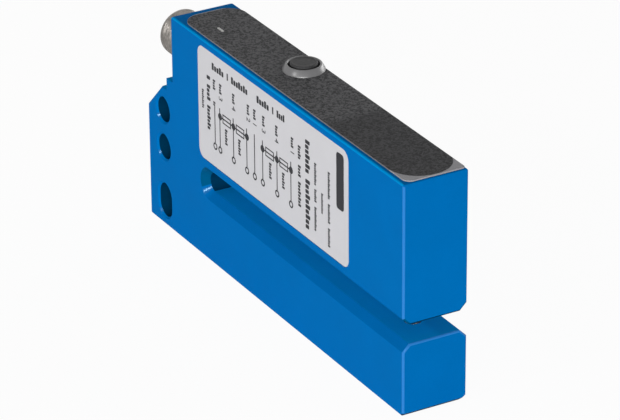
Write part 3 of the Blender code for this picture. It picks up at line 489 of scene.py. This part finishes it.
def at_hole(face, margin):
    """Whether a face lies in a hole, or no further than the margin outside its wall."""
    middle = face.calc_center_median() / MM
    return any(Vector((middle.x - HOLE_X, max(abs(middle.z - z) - stretch / 2, 0))).length
               < HOLE_DIAMETER / 2 + margin for z, stretch in HOLES)


def glints(face):
    """Whether a chamfered face is turned so that it mirrors the small lamp to the camera."""
    return (abs(face.normal.x - GLINT_X) < GLINT_SPREAD
            and abs(face.normal.z - GLINT_Z) < GLINT_SPREAD)


def edge_paint(face):
    """The paint that a broken edge takes, by where it is: painted shade, painted light, a painted
    highlight, or plain.
    """
    middle, facing = face.calc_center_median() / MM, face.normal
    at_front = middle.x > FRONT_X - EDGE_ZONE
    if middle.z < EDGE_ZONE:
        return DEEP_PAINTED_SHADE if at_front else PLAIN
    if middle.z > HOUSING_HEIGHT - EDGE_ZONE:
        return PAINTED_LIGHT if middle.y < -4 and not at_front else PLAIN
    below_slot = SLOT_LOW - SLOT_CHAMFER - 1 < middle.z < SLOT_LOW + EDGE_ZONE
    if at_front and (middle.y < -4 and abs(facing.z) < 0.1 or below_slot):
        return HIGHLIGHT_PAINTED_EDGES
    return PLAIN


def slot_paint(face):
    """The paint in the slot and on the ledges behind, by how each face is turned: painted light,
    painted shade, glossy rims or plain.
    """
    middle, facing = face.calc_center_median() / MM, face.normal
    if middle.x < BACK_X:
        return PAINTED_LIGHT if facing.z > 0.9 and middle.z > 20 else PLAIN
    reach = SLOT_CHAMFER + 0.02
    if not SLOT_LOW - reach < middle.z < SLOT_LOW + 2 * SLOT_RADIUS + reach:
        return PLAIN
    if abs(facing.y) < 0.1:
        return DEEP_PAINTED_SHADE if facing.x > 0.1 else PAINTED_LIGHT
    if glints(face):
        return AT_RIMS
    return SHADE_PAINTED_CHAMFERS if facing.x < 0.2 or facing.z > 0.35 else SLOT_END_PAINTED_SHADE


# painted highlight, painted light and painted shade on the broken edges, sorted by edge_paint
for paint in (DEEP_PAINTED_SHADE, PLAIN, PAINTED_LIGHT):
    recolour(housing, lambda face: face.material_index == HIGHLIGHT_PAINTED_EDGES and edge_paint(face) == paint,
             paint)
# painted light and painted shade in the slot and on the ledges, sorted by slot_paint
for paint in (DEEP_PAINTED_SHADE, PAINTED_LIGHT, SLOT_END_PAINTED_SHADE, SHADE_PAINTED_CHAMFERS, AT_RIMS):
    recolour(housing, lambda face: face.material_index == PLAIN and abs(face.normal.y) < 0.95
             and face.calc_center_median().x < FRONT_X * MM - HAIR and not at_hole(face, 0.5)
             and slot_paint(face) == paint, paint)
# painted shade on the bore walls
recolour(housing, lambda face: at_hole(face, 0.05) and abs(face.normal.y) < 0.3, DEEP_PAINTED_SHADE)
recolour(housing, lambda face: at_hole(face, 0.5) and face.normal.y < -0.3 and glints(face),
         AT_RIMS)

half, floor, seat = UPPER_POCKET
wide = (POCKET_BACK - COVER_LEDGE, POCKET_FRONT + COVER_LEDGE)
carve(housing, rounded_block("cover recess tool", (wide[0], -half - COVER_LEDGE, seat),
                             (wide[1], half + COVER_LEDGE, HOUSING_HEIGHT + PAST),
                             POCKET_ROUND + COVER_LEDGE, 2))
carve(housing, rounded_block("upper pocket tool", (POCKET_BACK, -half, floor),
                             (POCKET_FRONT, half, HOUSING_HEIGHT + PAST), POCKET_ROUND, 2))
half, ceiling, seat = LOWER_POCKET
carve(housing, rounded_block("foot recess tool", (wide[0], -half - COVER_LEDGE, -PAST),
                             (wide[1], half + COVER_LEDGE, seat), POCKET_ROUND + COVER_LEDGE, 2))
carve(housing, rounded_block("lower pocket tool", (POCKET_BACK, -half, -PAST),
                             (POCKET_FRONT, half, ceiling), POCKET_ROUND, 2))
carve(housing, rounded_block("wire channel tool", (CHANNEL_BACK, -CHANNEL_HALF, ceiling - PAST),
                             (CHANNEL_FRONT, CHANNEL_HALF, floor + PAST), POCKET_ROUND, 2))
carve(housing, rod("beam bore tool", (BEAM_X, 0, ceiling - PAST), (BEAM_X, 0, floor + PAST),
                   BEAM_BORE))
carve(housing, rod("plug bore tool", (LEDGES[1][0], 0, PLUG_Z), (POCKET_BACK + PAST, 0, PLUG_Z),
                   PLUG_BORE))
carve(housing, rounded_block("label recess tool", (LABEL_BOX[0], -SIDE_Y - PAST, LABEL_BOX[2]),
                             (LABEL_BOX[1], LABEL_RECESS - SIDE_Y, LABEL_BOX[3]),
                             LABEL_ROUND, 1, 12))
smooth(housing)
fit(housing, "sensor_body", "blue_paint", "fork_housing")


# Plug connector.
# A turned brass shell with nickel plating and an outside thread, pressed into the rear wall
# against a rubber ring. A black insert inside it holds four gold-plated contact pins.
PLUG_BASE = (BACK_X, 0.0, PLUG_Z)
OUTWARD = (-1, 0, 0)
THREAD_FROM, THREAD_TO = 1.5, 5.95
THREAD_PITCH = 1.0
THREAD_DEPTH = 0.35
THREAD_RINGS = 60
CREST = 3.7
SEAL_PROFILE = ((3.40, 0.60), (3.80, 0.60), (3.87, 0.57), (3.90, 0.50), (3.90, 0.20),
                (3.87, 0.13), (3.80, 0.10), (3.40, 0.10))
INSERT_PROFILE = ((0.0, 2.40), (2.80, 2.40), (2.91, 2.36), (2.95, 2.25), (2.95, 1.70),
                  (2.45, 1.70), (2.45, -4.90), (0.0, -4.90))
PIN_PROFILE = ((0.0, 6.0), (0.13, 5.985), (0.25, 5.93), (0.37, 5.84), (0.45, 5.72), (0.5, 5.5),
               (0.5, -7.6), (0.0, -7.6))
PIN_PLACES = ((-1.0, 1.05), (1.0, 1.05), (1.0, -1.05), (-1.0, -1.05))
PIN_BORE = 1.2
KEY = (0.9, 0.45)                              # the insert's key way, width and depth


def turned(name, profile, foot, direction=(0, 0, 1), steps=64, closed=False):
    """A profile of radius and height, traced point by point, then spun round its axis."""
    bpy.ops.object.select_all(action="DESELECT")
    bpy.ops.mesh.primitive_plane_add(size=MM)
    obj = bpy.context.object
    obj.name = obj.data.name = name
    bpy.ops.object.mode_set(mode="EDIT")
    bpy.ops.mesh.select_mode(type="VERT")
    bpy.ops.mesh.select_all(action="SELECT")
    bpy.ops.mesh.merge(type="CENTER")
    here = Vector((profile[0][0], 0, profile[0][1]))
    bpy.ops.transform.translate(value=here * MM)
    for radius, height in profile[1:]:
        there = Vector((radius, 0, height))
        bpy.ops.mesh.extrude_region_move(TRANSFORM_OT_translate={"value": (there - here) * MM})
        here = there
    leave_edit()
    if closed:
        ends = [Vector((profile[i][0], 0, profile[i][1])) * MM for i in (0, -1)]
        pick(obj, "VERT", lambda vert: any((vert.co - end).length < 1e-7 for end in ends))
        bpy.ops.mesh.edge_face_add()
        leave_edit()
    pick(obj, "EDGE", lambda edge: True)
    bpy.ops.mesh.spin(steps=steps, angle=tau, center=(0, 0, 0), axis=(0, 0, 1))
    leave_edit()
    mend(obj)
    obj.rotation_euler = Vector(direction).to_track_quat("Z", "Y").to_euler()
    obj.location = Vector(foot) * MM
    settle(obj)
    return obj


def copied(obj, name, move, turn=(0, 0, 0)):
    """A copy with its own mesh, turned about the origin and moved by so many millimetres."""
    copy = obj.copy()
    copy.data = obj.data.copy()
    copy.name = copy.data.name = name
    bpy.context.scene.collection.objects.link(copy)
    copy.rotation_euler = turn
    copy.location = Vector(move) * MM
    settle(copy)
    return copy


thread_rings = [(CREST, THREAD_TO - (THREAD_TO - THREAD_FROM) * i / THREAD_RINGS)
                for i in range(THREAD_RINGS + 1)]
shell = turned("connector_shell_threaded",
               ((3.05, 6.53), (3.12, 6.6), (3.25, 6.6), (3.34, 6.56), (3.67, 6.04),
                *thread_rings, (CREST, 1.35), (3.68, 0.74), (3.62, 0.7), (3.3, 0.7),
                (3.3, -4.9), (2.55, -4.9), (2.55, 1.6), (3.05, 1.6)),
               PLUG_BASE, OUTWARD, steps=96, closed=True)
for vert in shell.data.vertices:
    along = BACK_X - vert.co.x / MM
    y, z = vert.co.y / MM, vert.co.z / MM - PLUG_Z
    radius = (y * y + z * z) ** 0.5
    if abs(radius - CREST) < 0.02 and THREAD_FROM <= along <= THREAD_TO + 0.01:
        turns = (along / THREAD_PITCH + atan2(z, y) / tau) % 1.0
        groove = max(0.0, 1.0 - abs(2.0 * turns - 1.0) * 1.15)
        fade = min(1.0, (along - THREAD_FROM) / 0.5, (THREAD_TO + 0.05 - along) / 0.4)
        cutback = 1 - THREAD_DEPTH * groove * max(0.0, fade) / radius
        vert.co.y = y * cutback * MM
        vert.co.z = (z * cutback + PLUG_Z) * MM
shell.data.update()
shell.data.materials.append(
    finish("satin_nickel", (0.22, 0.205, 0.19), 0.3, 0.28, 0.5, 0.1, metallic=1.0, coarse=1.5))
smooth(shell, 30)
fit(shell, "sensor_body", "nickel", "connector_shell")

seal = turned("connector_seal_ring", SEAL_PROFILE, PLUG_BASE, OUTWARD, closed=True)
seal.data.materials.append(finish("black_rubber", (0.016, 0.016, 0.016), 0.2, 0.75, 0.2, 0.3))
smooth(seal, 40)
fit(seal, "sensor_body", "seal", "connector_seal")

insert = turned("connector_insert_moulded", INSERT_PROFILE, PLUG_BASE, OUTWARD)
for y, z in PIN_PLACES:
    carve(insert, rod("pin bore tool", (BACK_X - 4, y, PLUG_Z + z), (BACK_X + 6, y, PLUG_Z + z),
                      PIN_BORE, 24))
carve(insert, block("key tool", (BACK_X - 4, -KEY[0] / 2, PLUG_Z + 2.95 - KEY[1]),
                    (BACK_X - 2.0, KEY[0] / 2, PLUG_Z + 4)))
insert.data.materials.append(finish("black_moulding", (0.02, 0.02, 0.021), 0.2, 0.45, 0.2, 0.2))
smooth(insert, 40)
fit(insert, "sensor_body", "black_plastic", "connector_insert")

first_y, first_z = PIN_PLACES[0]
pin = turned("contact_pin_turned_1", PIN_PROFILE, (BACK_X, first_y, PLUG_Z + first_z), OUTWARD, 24)
pin.data.materials.append(
    finish("gold_plate", (0.83, 0.60, 0.25), 0.06, 0.22, 0.4, 0.05, metallic=1.0))
smooth(pin, 40)
pins = [pin] + [copied(pin, f"contact_pin_turned_{number}", (0, y - first_y, z - first_z))
                for number, (y, z) in enumerate(PIN_PLACES[1:], 2)]
for number, pin in enumerate(pins, 1):
    fit(pin, "sensor_body", "gold", f"contact_pin_{number}")


# Light barrier and signal light.
# Clear acrylic pieces: a round window in each jaw that lets the beam cross the slot, and a
# small light guide that brings the signal light up to the foil.
WINDOW_STEPS = 48
WINDOW_PROFILE = ((0.0, 3.8), (1.72, 3.8), (1.8, 3.72), (1.8, 3.2), (1.2, 3.2), (1.2, 0.06),
                  (1.14, 0.0), (0.0, 0.0))
RECEIVER_FACE, EMITTER_FACE = 14.35, 11.15     # heights of the windows' ends at the slot
GUIDE_BOX = ((-21.85, -1.6, 32.3), (-20.15, -1.2, 36.15))


def clear_finish(name, colour, roughness, clear=0.85):
    """Clear moulding with a faint tint and small flow marks."""
    mat = finish(name, colour, 0.03, roughness, 0.5, 0.04, specular=0.5, clear=clear)
    mat.node_tree.nodes["Principled BSDF"].inputs["IOR"].default_value = 1.49
    return mat


window = turned("receiver_window_moulded", WINDOW_PROFILE, (BEAM_X, 0, RECEIVER_FACE),
                steps=WINDOW_STEPS)
window.data.materials.append(clear_finish("clear_window_moulding", (0.86, 0.88, 0.89), 0.08))
other = copied(window, "emitter_window_moulded", (0, 0, RECEIVER_FACE + EMITTER_FACE), (pi, 0, 0))
for piece, node in ((window, "receiver_window"), (other, "emitter_window")):
    smooth(piece, 40)
    fit(piece, "sensor_body", "clear_acrylic", node)

guide = rounded_block("light_guide_moulded", *GUIDE_BOX, 0.12, 2, 4)
break_edges(guide, 0.05, 2, 60)
guide.data.materials.clear()
guide.data.materials.append(clear_finish("frosted_guide", (0.7, 0.7, 0.68), 0.45, 0.2))
smooth(guide, 40)
fit(guide, "sensor_body", "clear_acrylic", "light_guide")


# Everything inside, and the covers.
# Moulded covers close the two pockets. The pieces in them are ordinary board parts: solder
# mask, moulding compound, ceramic, steel and coloured insulation. Each gets its own finish.
INNER_FINISHES = {             # colour, its spread, roughness, grain, bump and metallic
    "dark_plastic": ((0.055, 0.054, 0.053), 0.12, 0.5, 0.3, 0.25, 0.0),
    "black_plastic": ((0.020, 0.020, 0.020), 0.2, 0.45, 0.2, 0.2, 0.0),
    "switch_frame": ((0.55, 0.55, 0.55), 0.08, 0.35, 0.15, 0.1, 1.0),
    "circuit_board": ((0.010, 0.120, 0.045), 0.18, 0.42, 0.6, 0.15, 0.0),
    "chip": ((0.018, 0.018, 0.020), 0.25, 0.6, 0.12, 0.3, 0.0),
    "ceramic": ((0.45, 0.30, 0.17), 0.1, 0.5, 0.15, 0.2, 0.0),
    "led_epoxy": ((0.90, 0.62, 0.15), 0.06, 0.25, 0.4, 0.05, 0.0),
    "red_epoxy": ((0.60, 0.03, 0.02), 0.08, 0.2, 0.4, 0.05, 0.0),
    "red_insulation": ((0.50, 0.03, 0.02), 0.1, 0.5, 0.3, 0.15, 0.0),
    "blue_insulation": ((0.02, 0.08, 0.40), 0.1, 0.5, 0.3, 0.15, 0.0),
}
inner = {slot: finish("inner_" + slot, colour, spread, roughness, grain, bump, metallic)
         for slot, (colour, spread, roughness, grain, bump, metallic) in INNER_FINISHES.items()}
for part in frame["record"]["subparts"]:
    if part["material_slot"] in inner and not frame["nodes"][part["node"]].hide_render:
        kept = frame["nodes"][part["node"]].data.materials
        kept.clear()
        kept.append(inner[part["material_slot"]])


# Keypad foil.
# A thin polyester foil over the top cover. It is printed dark grey from behind up to a rounded
# border, outside which its light grey base shows, and its face has a fine embossed grain.
FOIL_LOW_X, FOIL_HIGH_X = -27.8, 37.35
FOIL_LOW_Y, FOIL_HIGH_Y = -4.55, 4.95
FOIL_FOOT, FOIL_TOP = 35.95, 36.15
FOIL_BACK_ROUND = 3.0
FOIL_NEAR_FRONT_ROUND = 1.2
FOIL_FAR_FRONT_ROUND = 0.5
BUTTON_X, BUTTON_Y = -2.2, 2.0
STEM_HOLE = 1.9
LAMP_X, LAMP_Y = -21.0, -1.4
LAMP_HOLE = (1.9, 0.6)
DARK_LOW_X, DARK_HIGH_X = -27.6, 37.15         # the dark print on the foil
DARK_LOW_Y, DARK_HIGH_Y = -4.55, 5.1
DARK_BACK_ROUND = 2.8
DARK_FRONT_ROUND = 4.7
FOIL_DARK = (0.090, 0.090, 0.093)
FOIL_PALE = (0.36, 0.355, 0.37)
# painted sheen: the dark print is mixed with this towards the front, so the rear looks lit by a
# reflection
FOIL_PAINTED_SHEEN_DIM = (0.02, 0.02, 0.021)
PAINTED_SHEEN_STEP_X = (14.6, 16.4)                     # painted sheen: the print turns darker between these, the lighter rear standing in for a reflection
TOOL_FROM, TOOL_TO = 30, 40

foil = block("keypad_foil_printed", (FOIL_LOW_X, FOIL_LOW_Y, FOIL_FOOT),
             (FOIL_HIGH_X, FOIL_HIGH_Y, FOIL_TOP))
round_edges(foil, lambda edge: edge_along(edge, 2) and edge.verts[0].co.x < 0,
            FOIL_BACK_ROUND, 20)
for near, radius in ((True, FOIL_NEAR_FRONT_ROUND), (False, FOIL_FAR_FRONT_ROUND)):
    round_edges(foil, lambda edge: edge_along(edge, 2)
                and edge.verts[0].co.x > (FOIL_HIGH_X - 0.05) * MM
                and edge.calc_face_angle() > 1 and (edge.verts[0].co.y < 0) == near, radius, 12)
carve(foil, rod("stem hole tool", (BUTTON_X, BUTTON_Y, TOOL_FROM),
                (BUTTON_X, BUTTON_Y, TOOL_TO), STEM_HOLE))
carve(foil, rounded_block("lamp hole tool",
                          (LAMP_X - LAMP_HOLE[0] / 2, LAMP_Y - LAMP_HOLE[1] / 2, TOOL_FROM),
                          (LAMP_X + LAMP_HOLE[0] / 2, LAMP_Y + LAMP_HOLE[1] / 2, TOOL_TO),
                          0.15, 2, 4))
break_edges(foil, 0.04, 2, 60)


def foil_finish():
    """Foil print: dark inside a rounded border, a painted sheen that turns it darker towards the
    front, and a coarse grain.
    """
    mat = finish("printed_foil", FOIL_DARK, 0.55, 0.6, 0.24, 1.0, specular=0.06, coarse=0.5)
    nodes, links = mat.node_tree.nodes, mat.node_tree.links
    contrast = next(n for n in nodes if n.bl_idname == "ShaderNodeMapRange"
                    and n.inputs["From Max"].default_value > 1.3)
    contrast.inputs["From Min"].default_value = 0.87
    contrast.inputs["From Max"].default_value = 1.13
    next(n for n in nodes if n.bl_idname == "ShaderNodeBump").inputs[
        "Distance"].default_value = 0.1 * MM
    shader = nodes["Principled BSDF"]
    inked = shader.inputs["Base Color"].links[0].from_socket
    place = nodes.new("ShaderNodeTexCoord")
    centred = nodes.new("ShaderNodeVectorMath")
    centred.operation = "SUBTRACT"
    centred.inputs[1].default_value = ((DARK_LOW_X + DARK_HIGH_X) / 2 * MM,
                                       (DARK_LOW_Y + DARK_HIGH_Y) / 2 * MM, 0)
    links.new(place.outputs["Object"], centred.inputs[0])
    folded = nodes.new("ShaderNodeVectorMath")
    folded.operation = "ABSOLUTE"
    links.new(centred.outputs[0], folded.inputs[0])
    split = nodes.new("ShaderNodeSeparateXYZ")
    links.new(place.outputs["Object"], split.inputs[0])
    corner = nodes.new("ShaderNodeMapRange")
    corner.inputs["From Min"].default_value = -1.0 * MM
    corner.inputs["From Max"].default_value = 1.0 * MM
    corner.inputs["To Min"].default_value = DARK_BACK_ROUND * MM
    corner.inputs["To Max"].default_value = DARK_FRONT_ROUND * MM
    links.new(split.outputs["X"], corner.inputs["Value"])
    short = nodes.new("ShaderNodeVectorMath")
    short.operation = "SUBTRACT"
    short.inputs[1].default_value = ((DARK_HIGH_X - DARK_LOW_X) / 2 * MM,
                                     (DARK_HIGH_Y - DARK_LOW_Y) / 2 * MM, 1.0)
    links.new(folded.outputs[0], short.inputs[0])
    inner = nodes.new("ShaderNodeVectorMath")
    inner.operation = "ADD"
    links.new(short.outputs[0], inner.inputs[0])
    links.new(corner.outputs["Result"], inner.inputs[1])
    beyond = nodes.new("ShaderNodeVectorMath")
    beyond.operation = "MAXIMUM"
    beyond.inputs[1].default_value = (0, 0, 0)
    links.new(inner.outputs[0], beyond.inputs[0])
    reach = nodes.new("ShaderNodeVectorMath")
    reach.operation = "LENGTH"
    links.new(beyond.outputs[0], reach.inputs[0])
    outside = nodes.new("ShaderNodeMath")
    outside.operation = "SUBTRACT"
    links.new(reach.outputs["Value"], outside.inputs[0])
    links.new(corner.outputs["Result"], outside.inputs[1])
    border = nodes.new("ShaderNodeMapRange")
    border.inputs["From Min"].default_value = -0.05 * MM
    border.inputs["From Max"].default_value = 0.05 * MM
    links.new(outside.outputs[0], border.inputs["Value"])
    step = nodes.new("ShaderNodeMapRange")
    step.inputs["From Min"].default_value = PAINTED_SHEEN_STEP_X[0] * MM
    step.inputs["From Max"].default_value = PAINTED_SHEEN_STEP_X[1] * MM
    step.inputs["To Min"].default_value = 1.0
    step.inputs["To Max"].default_value = 0.5
    links.new(split.outputs["X"], step.inputs["Value"])
    sheen_toned = nodes.new("ShaderNodeMix")
    sheen_toned.data_type = "RGBA"
    sheen_toned.inputs["A"].default_value = (*FOIL_PAINTED_SHEEN_DIM, 1.0)
    links.new(step.outputs["Result"], sheen_toned.inputs["Factor"])
    links.new(inked, sheen_toned.inputs["B"])
    edged = nodes.new("ShaderNodeMix")
    edged.data_type = "RGBA"
    edged.inputs["B"].default_value = (*FOIL_PALE, 1.0)
    links.new(border.outputs["Result"], edged.inputs["Factor"])
    links.new(sheen_toned.outputs["Result"], edged.inputs["A"])
    links.new(edged.outputs["Result"], shader.inputs["Base Color"])
    return mat


foil.data.materials.clear()
foil.data.materials.append(foil_finish())
smooth(foil)
fit(foil, "sensor_body", "keypad_foil", "keypad_foil")


# Push-button.
# A low moulded collar stands on the foil and guides a round cap, whose stem goes down through
# the foil and the cover to the small switch on the board. The cap springs back by itself.
COLLAR_FOOT_Z = 36.2
COLLAR_PROFILE = ((2.35, 0.0), (2.35, 0.80), (2.38, 0.88), (2.45, 0.94), (2.55, 0.95),
                  (2.64, 0.93), (2.71, 0.87), (2.98, 0.40), (3.08, 0.22), (3.17, 0.05),
                  (3.18, 0.0))
CAP_FOOT_Z = 36.65
CAP_PROFILE = ((0.0, 0.70), (0.5, 0.695), (1.0, 0.68), (1.45, 0.665), (1.62, 0.70), (1.78, 0.75),
               (1.90, 0.735), (1.99, 0.68), (2.04, 0.60), (2.05, 0.50), (2.05, 0.0), (0.8, 0.0),
               (0.8, -2.05), (1.12, -2.05), (1.15, -2.08), (0.82, -2.63), (0.78, -2.65),
               (0.0, -2.65))
SOFT_GREY = (0.105, 0.104, 0.107)

collar = turned("button_collar_moulded", COLLAR_PROFILE, (BUTTON_X, BUTTON_Y, COLLAR_FOOT_Z),
                closed=True)
collar.data.materials.append(
    finish("soft_grey_moulding", SOFT_GREY, 0.16, 0.34, 0.25, 0.2, specular=0.95))
smooth(collar, 40)
fit(collar, "sensor_body", "dark_plastic", "button_collar")

cap = turned("button_cap_moulded", CAP_PROFILE, (BUTTON_X, BUTTON_Y, CAP_FOOT_Z))
cap.data.materials.append(
    finish("dark_grey_cap", (0.042, 0.042, 0.043), 0.6, 0.5, 0.4, 0.6, specular=0.15))
smooth(cap, 40)
fit(cap, "push_button", "dark_plastic", "button_cap")


# Side label.
# A light grey polyester label with rounded corners, stuck down in the shallow recess on the
# housing's near side, a hair below the painted face.
LABEL_FACE = -5.15
LABEL_THICKNESS = 0.15
LABEL_LOW_X, LABEL_HIGH_X = -21.4, 22.8
LABEL_LOW_Z, LABEL_HIGH_Z = 16.5, 34.7
LABEL_CORNER = 1.5

label = rounded_block("side_label_film", (LABEL_LOW_X, LABEL_FACE, LABEL_LOW_Z),
                      (LABEL_HIGH_X, LABEL_FACE + LABEL_THICKNESS, LABEL_HIGH_Z),
                      LABEL_CORNER, 1, 16)
break_edges(label, 0.03, 2, 60)
label.data.materials.clear()
label.data.materials.append(
    finish("light_grey_label_film", (0.615, 0.610, 0.630), 0.02, 0.5, 0.3, 0.05, specular=0.15))
smooth(label)
fit(label, "sensor_body", "label_film", "side_label")


# Label print.
# Dark ink on the label: two wiring diagrams with their dots, boxes and rings, the contact
# numbers, rows of small plain marks and one plain bar. It is printed, so it is only a skin.
INK = 0.02                                     # how thick the ink lies
BOX_INK, DOT_INK = 1.5 * INK, 1.6 * INK        # boxes and dots lie over the lines
PRINT_X = -23.0                                # the drawing's own corner, at the upper rear
PRINT_Z = 35.5
PRINT_UNIT = 1 / 34                            # millimetres to one unit of the drawing
INK_DARK = (0.018, 0.018, 0.022)
LINE_WIDTH = 0.22
SHORT_ROW = ((205, 330), (360, 375), (405, 575), (665, 790), (820, 835), (865, 945))
SHORT_ROW_TOP, SHORT_ROW_FOOT = 78, 116
MARK_ROWS = (                                  # middle, height, and each group from and to
    (105, 20, ((262, 368),)),
    (166, 34, ((165, 190), (215, 305), (330, 465))),
    (225, 22, ((285, 310),)),
    *((middle, 24, ((165, 222),)) for middle in (225, 290, 425, 575, 640, 730, 860, 1015)),
    *((middle, 25, ((392, 480),)) for middle in (345, 482, 795, 925)),
    (1085, 27, ((180, 255), (285, 350), (375, 510))),
    (1165, 44, ((120, 300), (330, 600))),
    (1240, 21, ((210, 330), (350, 420), (445, 575))),
    (1305, 18, ((345, 455),)),
    (1370, 21, ((205, 350), (375, 480), (505, 606))),
)
PLAIN_BAR = (1442, 1512, 62, 360)
WIRES = (228, 280, 420, 557, 636, 718, 862, 1000)
WIRE_TOP, WIRE_FOOT, TERMINAL_DOWN = 300, 510, 530
RUNGS = ((283, 560, 345), (718, 1002, 345))
DOTS = ((283, 345), (422, 345), (560, 345), (718, 345), (862, 345), (1002, 345))
BOXES = ((352, 345), (490, 345), (790, 345), (930, 345))
BOX_LENGTH, BOX_HEIGHT = 84, 50
DOT_RADIUS, DOT_STEPS = 19, 20
RING_OUTER, RING_INNER = 2.1, 1.2              # in dot radii
BOX_LINE = 0.8 * LINE_WIDTH
NUMBERS = (("1", 640, 245), ("2", 575, 245), ("3", 290, 245), ("4", 425, 245),
           ("3", 730, 245), ("4", 860, 245), ("1", 1015, 245))
NUMBER_HEIGHT = 1.5
MARK_PITCH, MARK_WIDTH = 0.6, 0.78             # in mark heights, and in pitches
TALLNESS = (1.0, 0.75, 0.75, 1.0, 0.75, 1.0, 0.75)


def label_x(across):
    return PRINT_X + across * PRINT_UNIT


def label_z(down):
    return PRINT_Z - down * PRINT_UNIT


def ink_bar(left, right, top, foot):
    """A printed bar between two corners of the drawing, with softly rounded ends."""
    low = (label_x(left), LABEL_FACE - INK, label_z(foot))
    high = (label_x(right), LABEL_FACE, label_z(top))
    reach = min(high[0] - low[0], high[2] - low[2])
    return rounded_block("bar", low, high, reach * 0.25, 1, 3)


def repeated(first, places):
    """The piece at the first place of the drawing, and its copies at the others."""
    across, down = places[0]
    return [first] + [copied(first, first.name, ((x - across) * PRINT_UNIT, 0,
                                                 (down - z) * PRINT_UNIT))
                      for x, z in places[1:]]


def row_marks(start, end, tall):
    """Where the plain marks of one group start and end, and how tall each one is."""
    count = max(1, round((end - start) / (tall * MARK_PITCH)))
    pitch = (end - start) / count
    for i in range(count):
        yield start + i * pitch, start + (i + MARK_WIDTH) * pitch, tall * TALLNESS[i % 7]


prints = []
for left, right in SHORT_ROW:
    for begin, stop, tall in row_marks(left, right, SHORT_ROW_FOOT - SHORT_ROW_TOP):
        prints.append(ink_bar(begin, stop, SHORT_ROW_FOOT - tall, SHORT_ROW_FOOT))
for middle, height, groups in MARK_ROWS:
    for top, foot in groups:
        for begin, stop, tall in row_marks(top, foot, height):
            prints.append(ink_bar(middle - height / 2, middle - height / 2 + tall, begin, stop))
prints.append(ink_bar(*PLAIN_BAR))
half = LINE_WIDTH / PRINT_UNIT / 2
prints += [ink_bar(left, right, z - half, z + half) for left, right, z in RUNGS]
prints += repeated(ink_bar(WIRES[0] - half, WIRES[0] + half, WIRE_TOP, WIRE_FOOT),
                   [(x, WIRE_TOP) for x in WIRES])

x, z = BOXES[0]
left, right = label_x(x - BOX_LENGTH / 2), label_x(x + BOX_LENGTH / 2)
low, high = label_z(z + BOX_HEIGHT / 2), label_z(z - BOX_HEIGHT / 2)
frame_box = block("box", (left, LABEL_FACE - BOX_INK, low), (right, LABEL_FACE, high))
carve(frame_box, block("box inside", (left + BOX_LINE, LABEL_FACE - 1, low + BOX_LINE),
                       (right - BOX_LINE, LABEL_FACE + 1, high - BOX_LINE)))
prints += repeated(frame_box, BOXES)

x, z = label_x(DOTS[0][0]), label_z(DOTS[0][1])
prints += repeated(rod("dot", (x, LABEL_FACE - DOT_INK, z), (x, LABEL_FACE, z),
                       2 * DOT_RADIUS * PRINT_UNIT, DOT_STEPS), DOTS)

x, z = label_x(WIRES[0]), label_z(TERMINAL_DOWN)
ring = rod("terminal", (x, LABEL_FACE - INK, z), (x, LABEL_FACE, z),
           RING_OUTER * DOT_RADIUS * PRINT_UNIT, DOT_STEPS)
carve(ring, rod("terminal inside", (x, LABEL_FACE - 1, z), (x, LABEL_FACE + 1, z),
                RING_INNER * DOT_RADIUS * PRINT_UNIT, DOT_STEPS))
prints += repeated(ring, [(x, TERMINAL_DOWN) for x in WIRES])

for digit, x, z in NUMBERS:
    bpy.ops.object.select_all(action="DESELECT")
    bpy.ops.object.text_add(location=(0, 0, 0))
    number = bpy.context.object
    number.data.body = digit
    number.data.align_x = number.data.align_y = "CENTER"
    number.data.size = NUMBER_HEIGHT * MM
    number.data.extrude = INK / 2 * MM
    select_only(number)
    bpy.ops.object.convert(target="MESH")
    number.rotation_euler = (pi / 2, pi / 2, 0)
    number.location = (label_x(x) * MM, (LABEL_FACE - INK / 2) * MM, label_z(z) * MM)
    settle(number)
    mend(number)
    prints.append(number)

bpy.ops.object.select_all(action="DESELECT")
for piece in prints:
    piece.select_set(True)
bpy.context.view_layer.objects.active = prints[0]
bpy.ops.object.join()
label_print = bpy.context.object
label_print.name = label_print.data.name = "label_print"
label_print.data.materials.clear()
label_print.data.materials.append(
    finish("dark_label_ink", INK_DARK, 0.2, 0.55, 0.2, 0.05, specular=0.2))
fit(label_print, "sensor_body", "label_film")
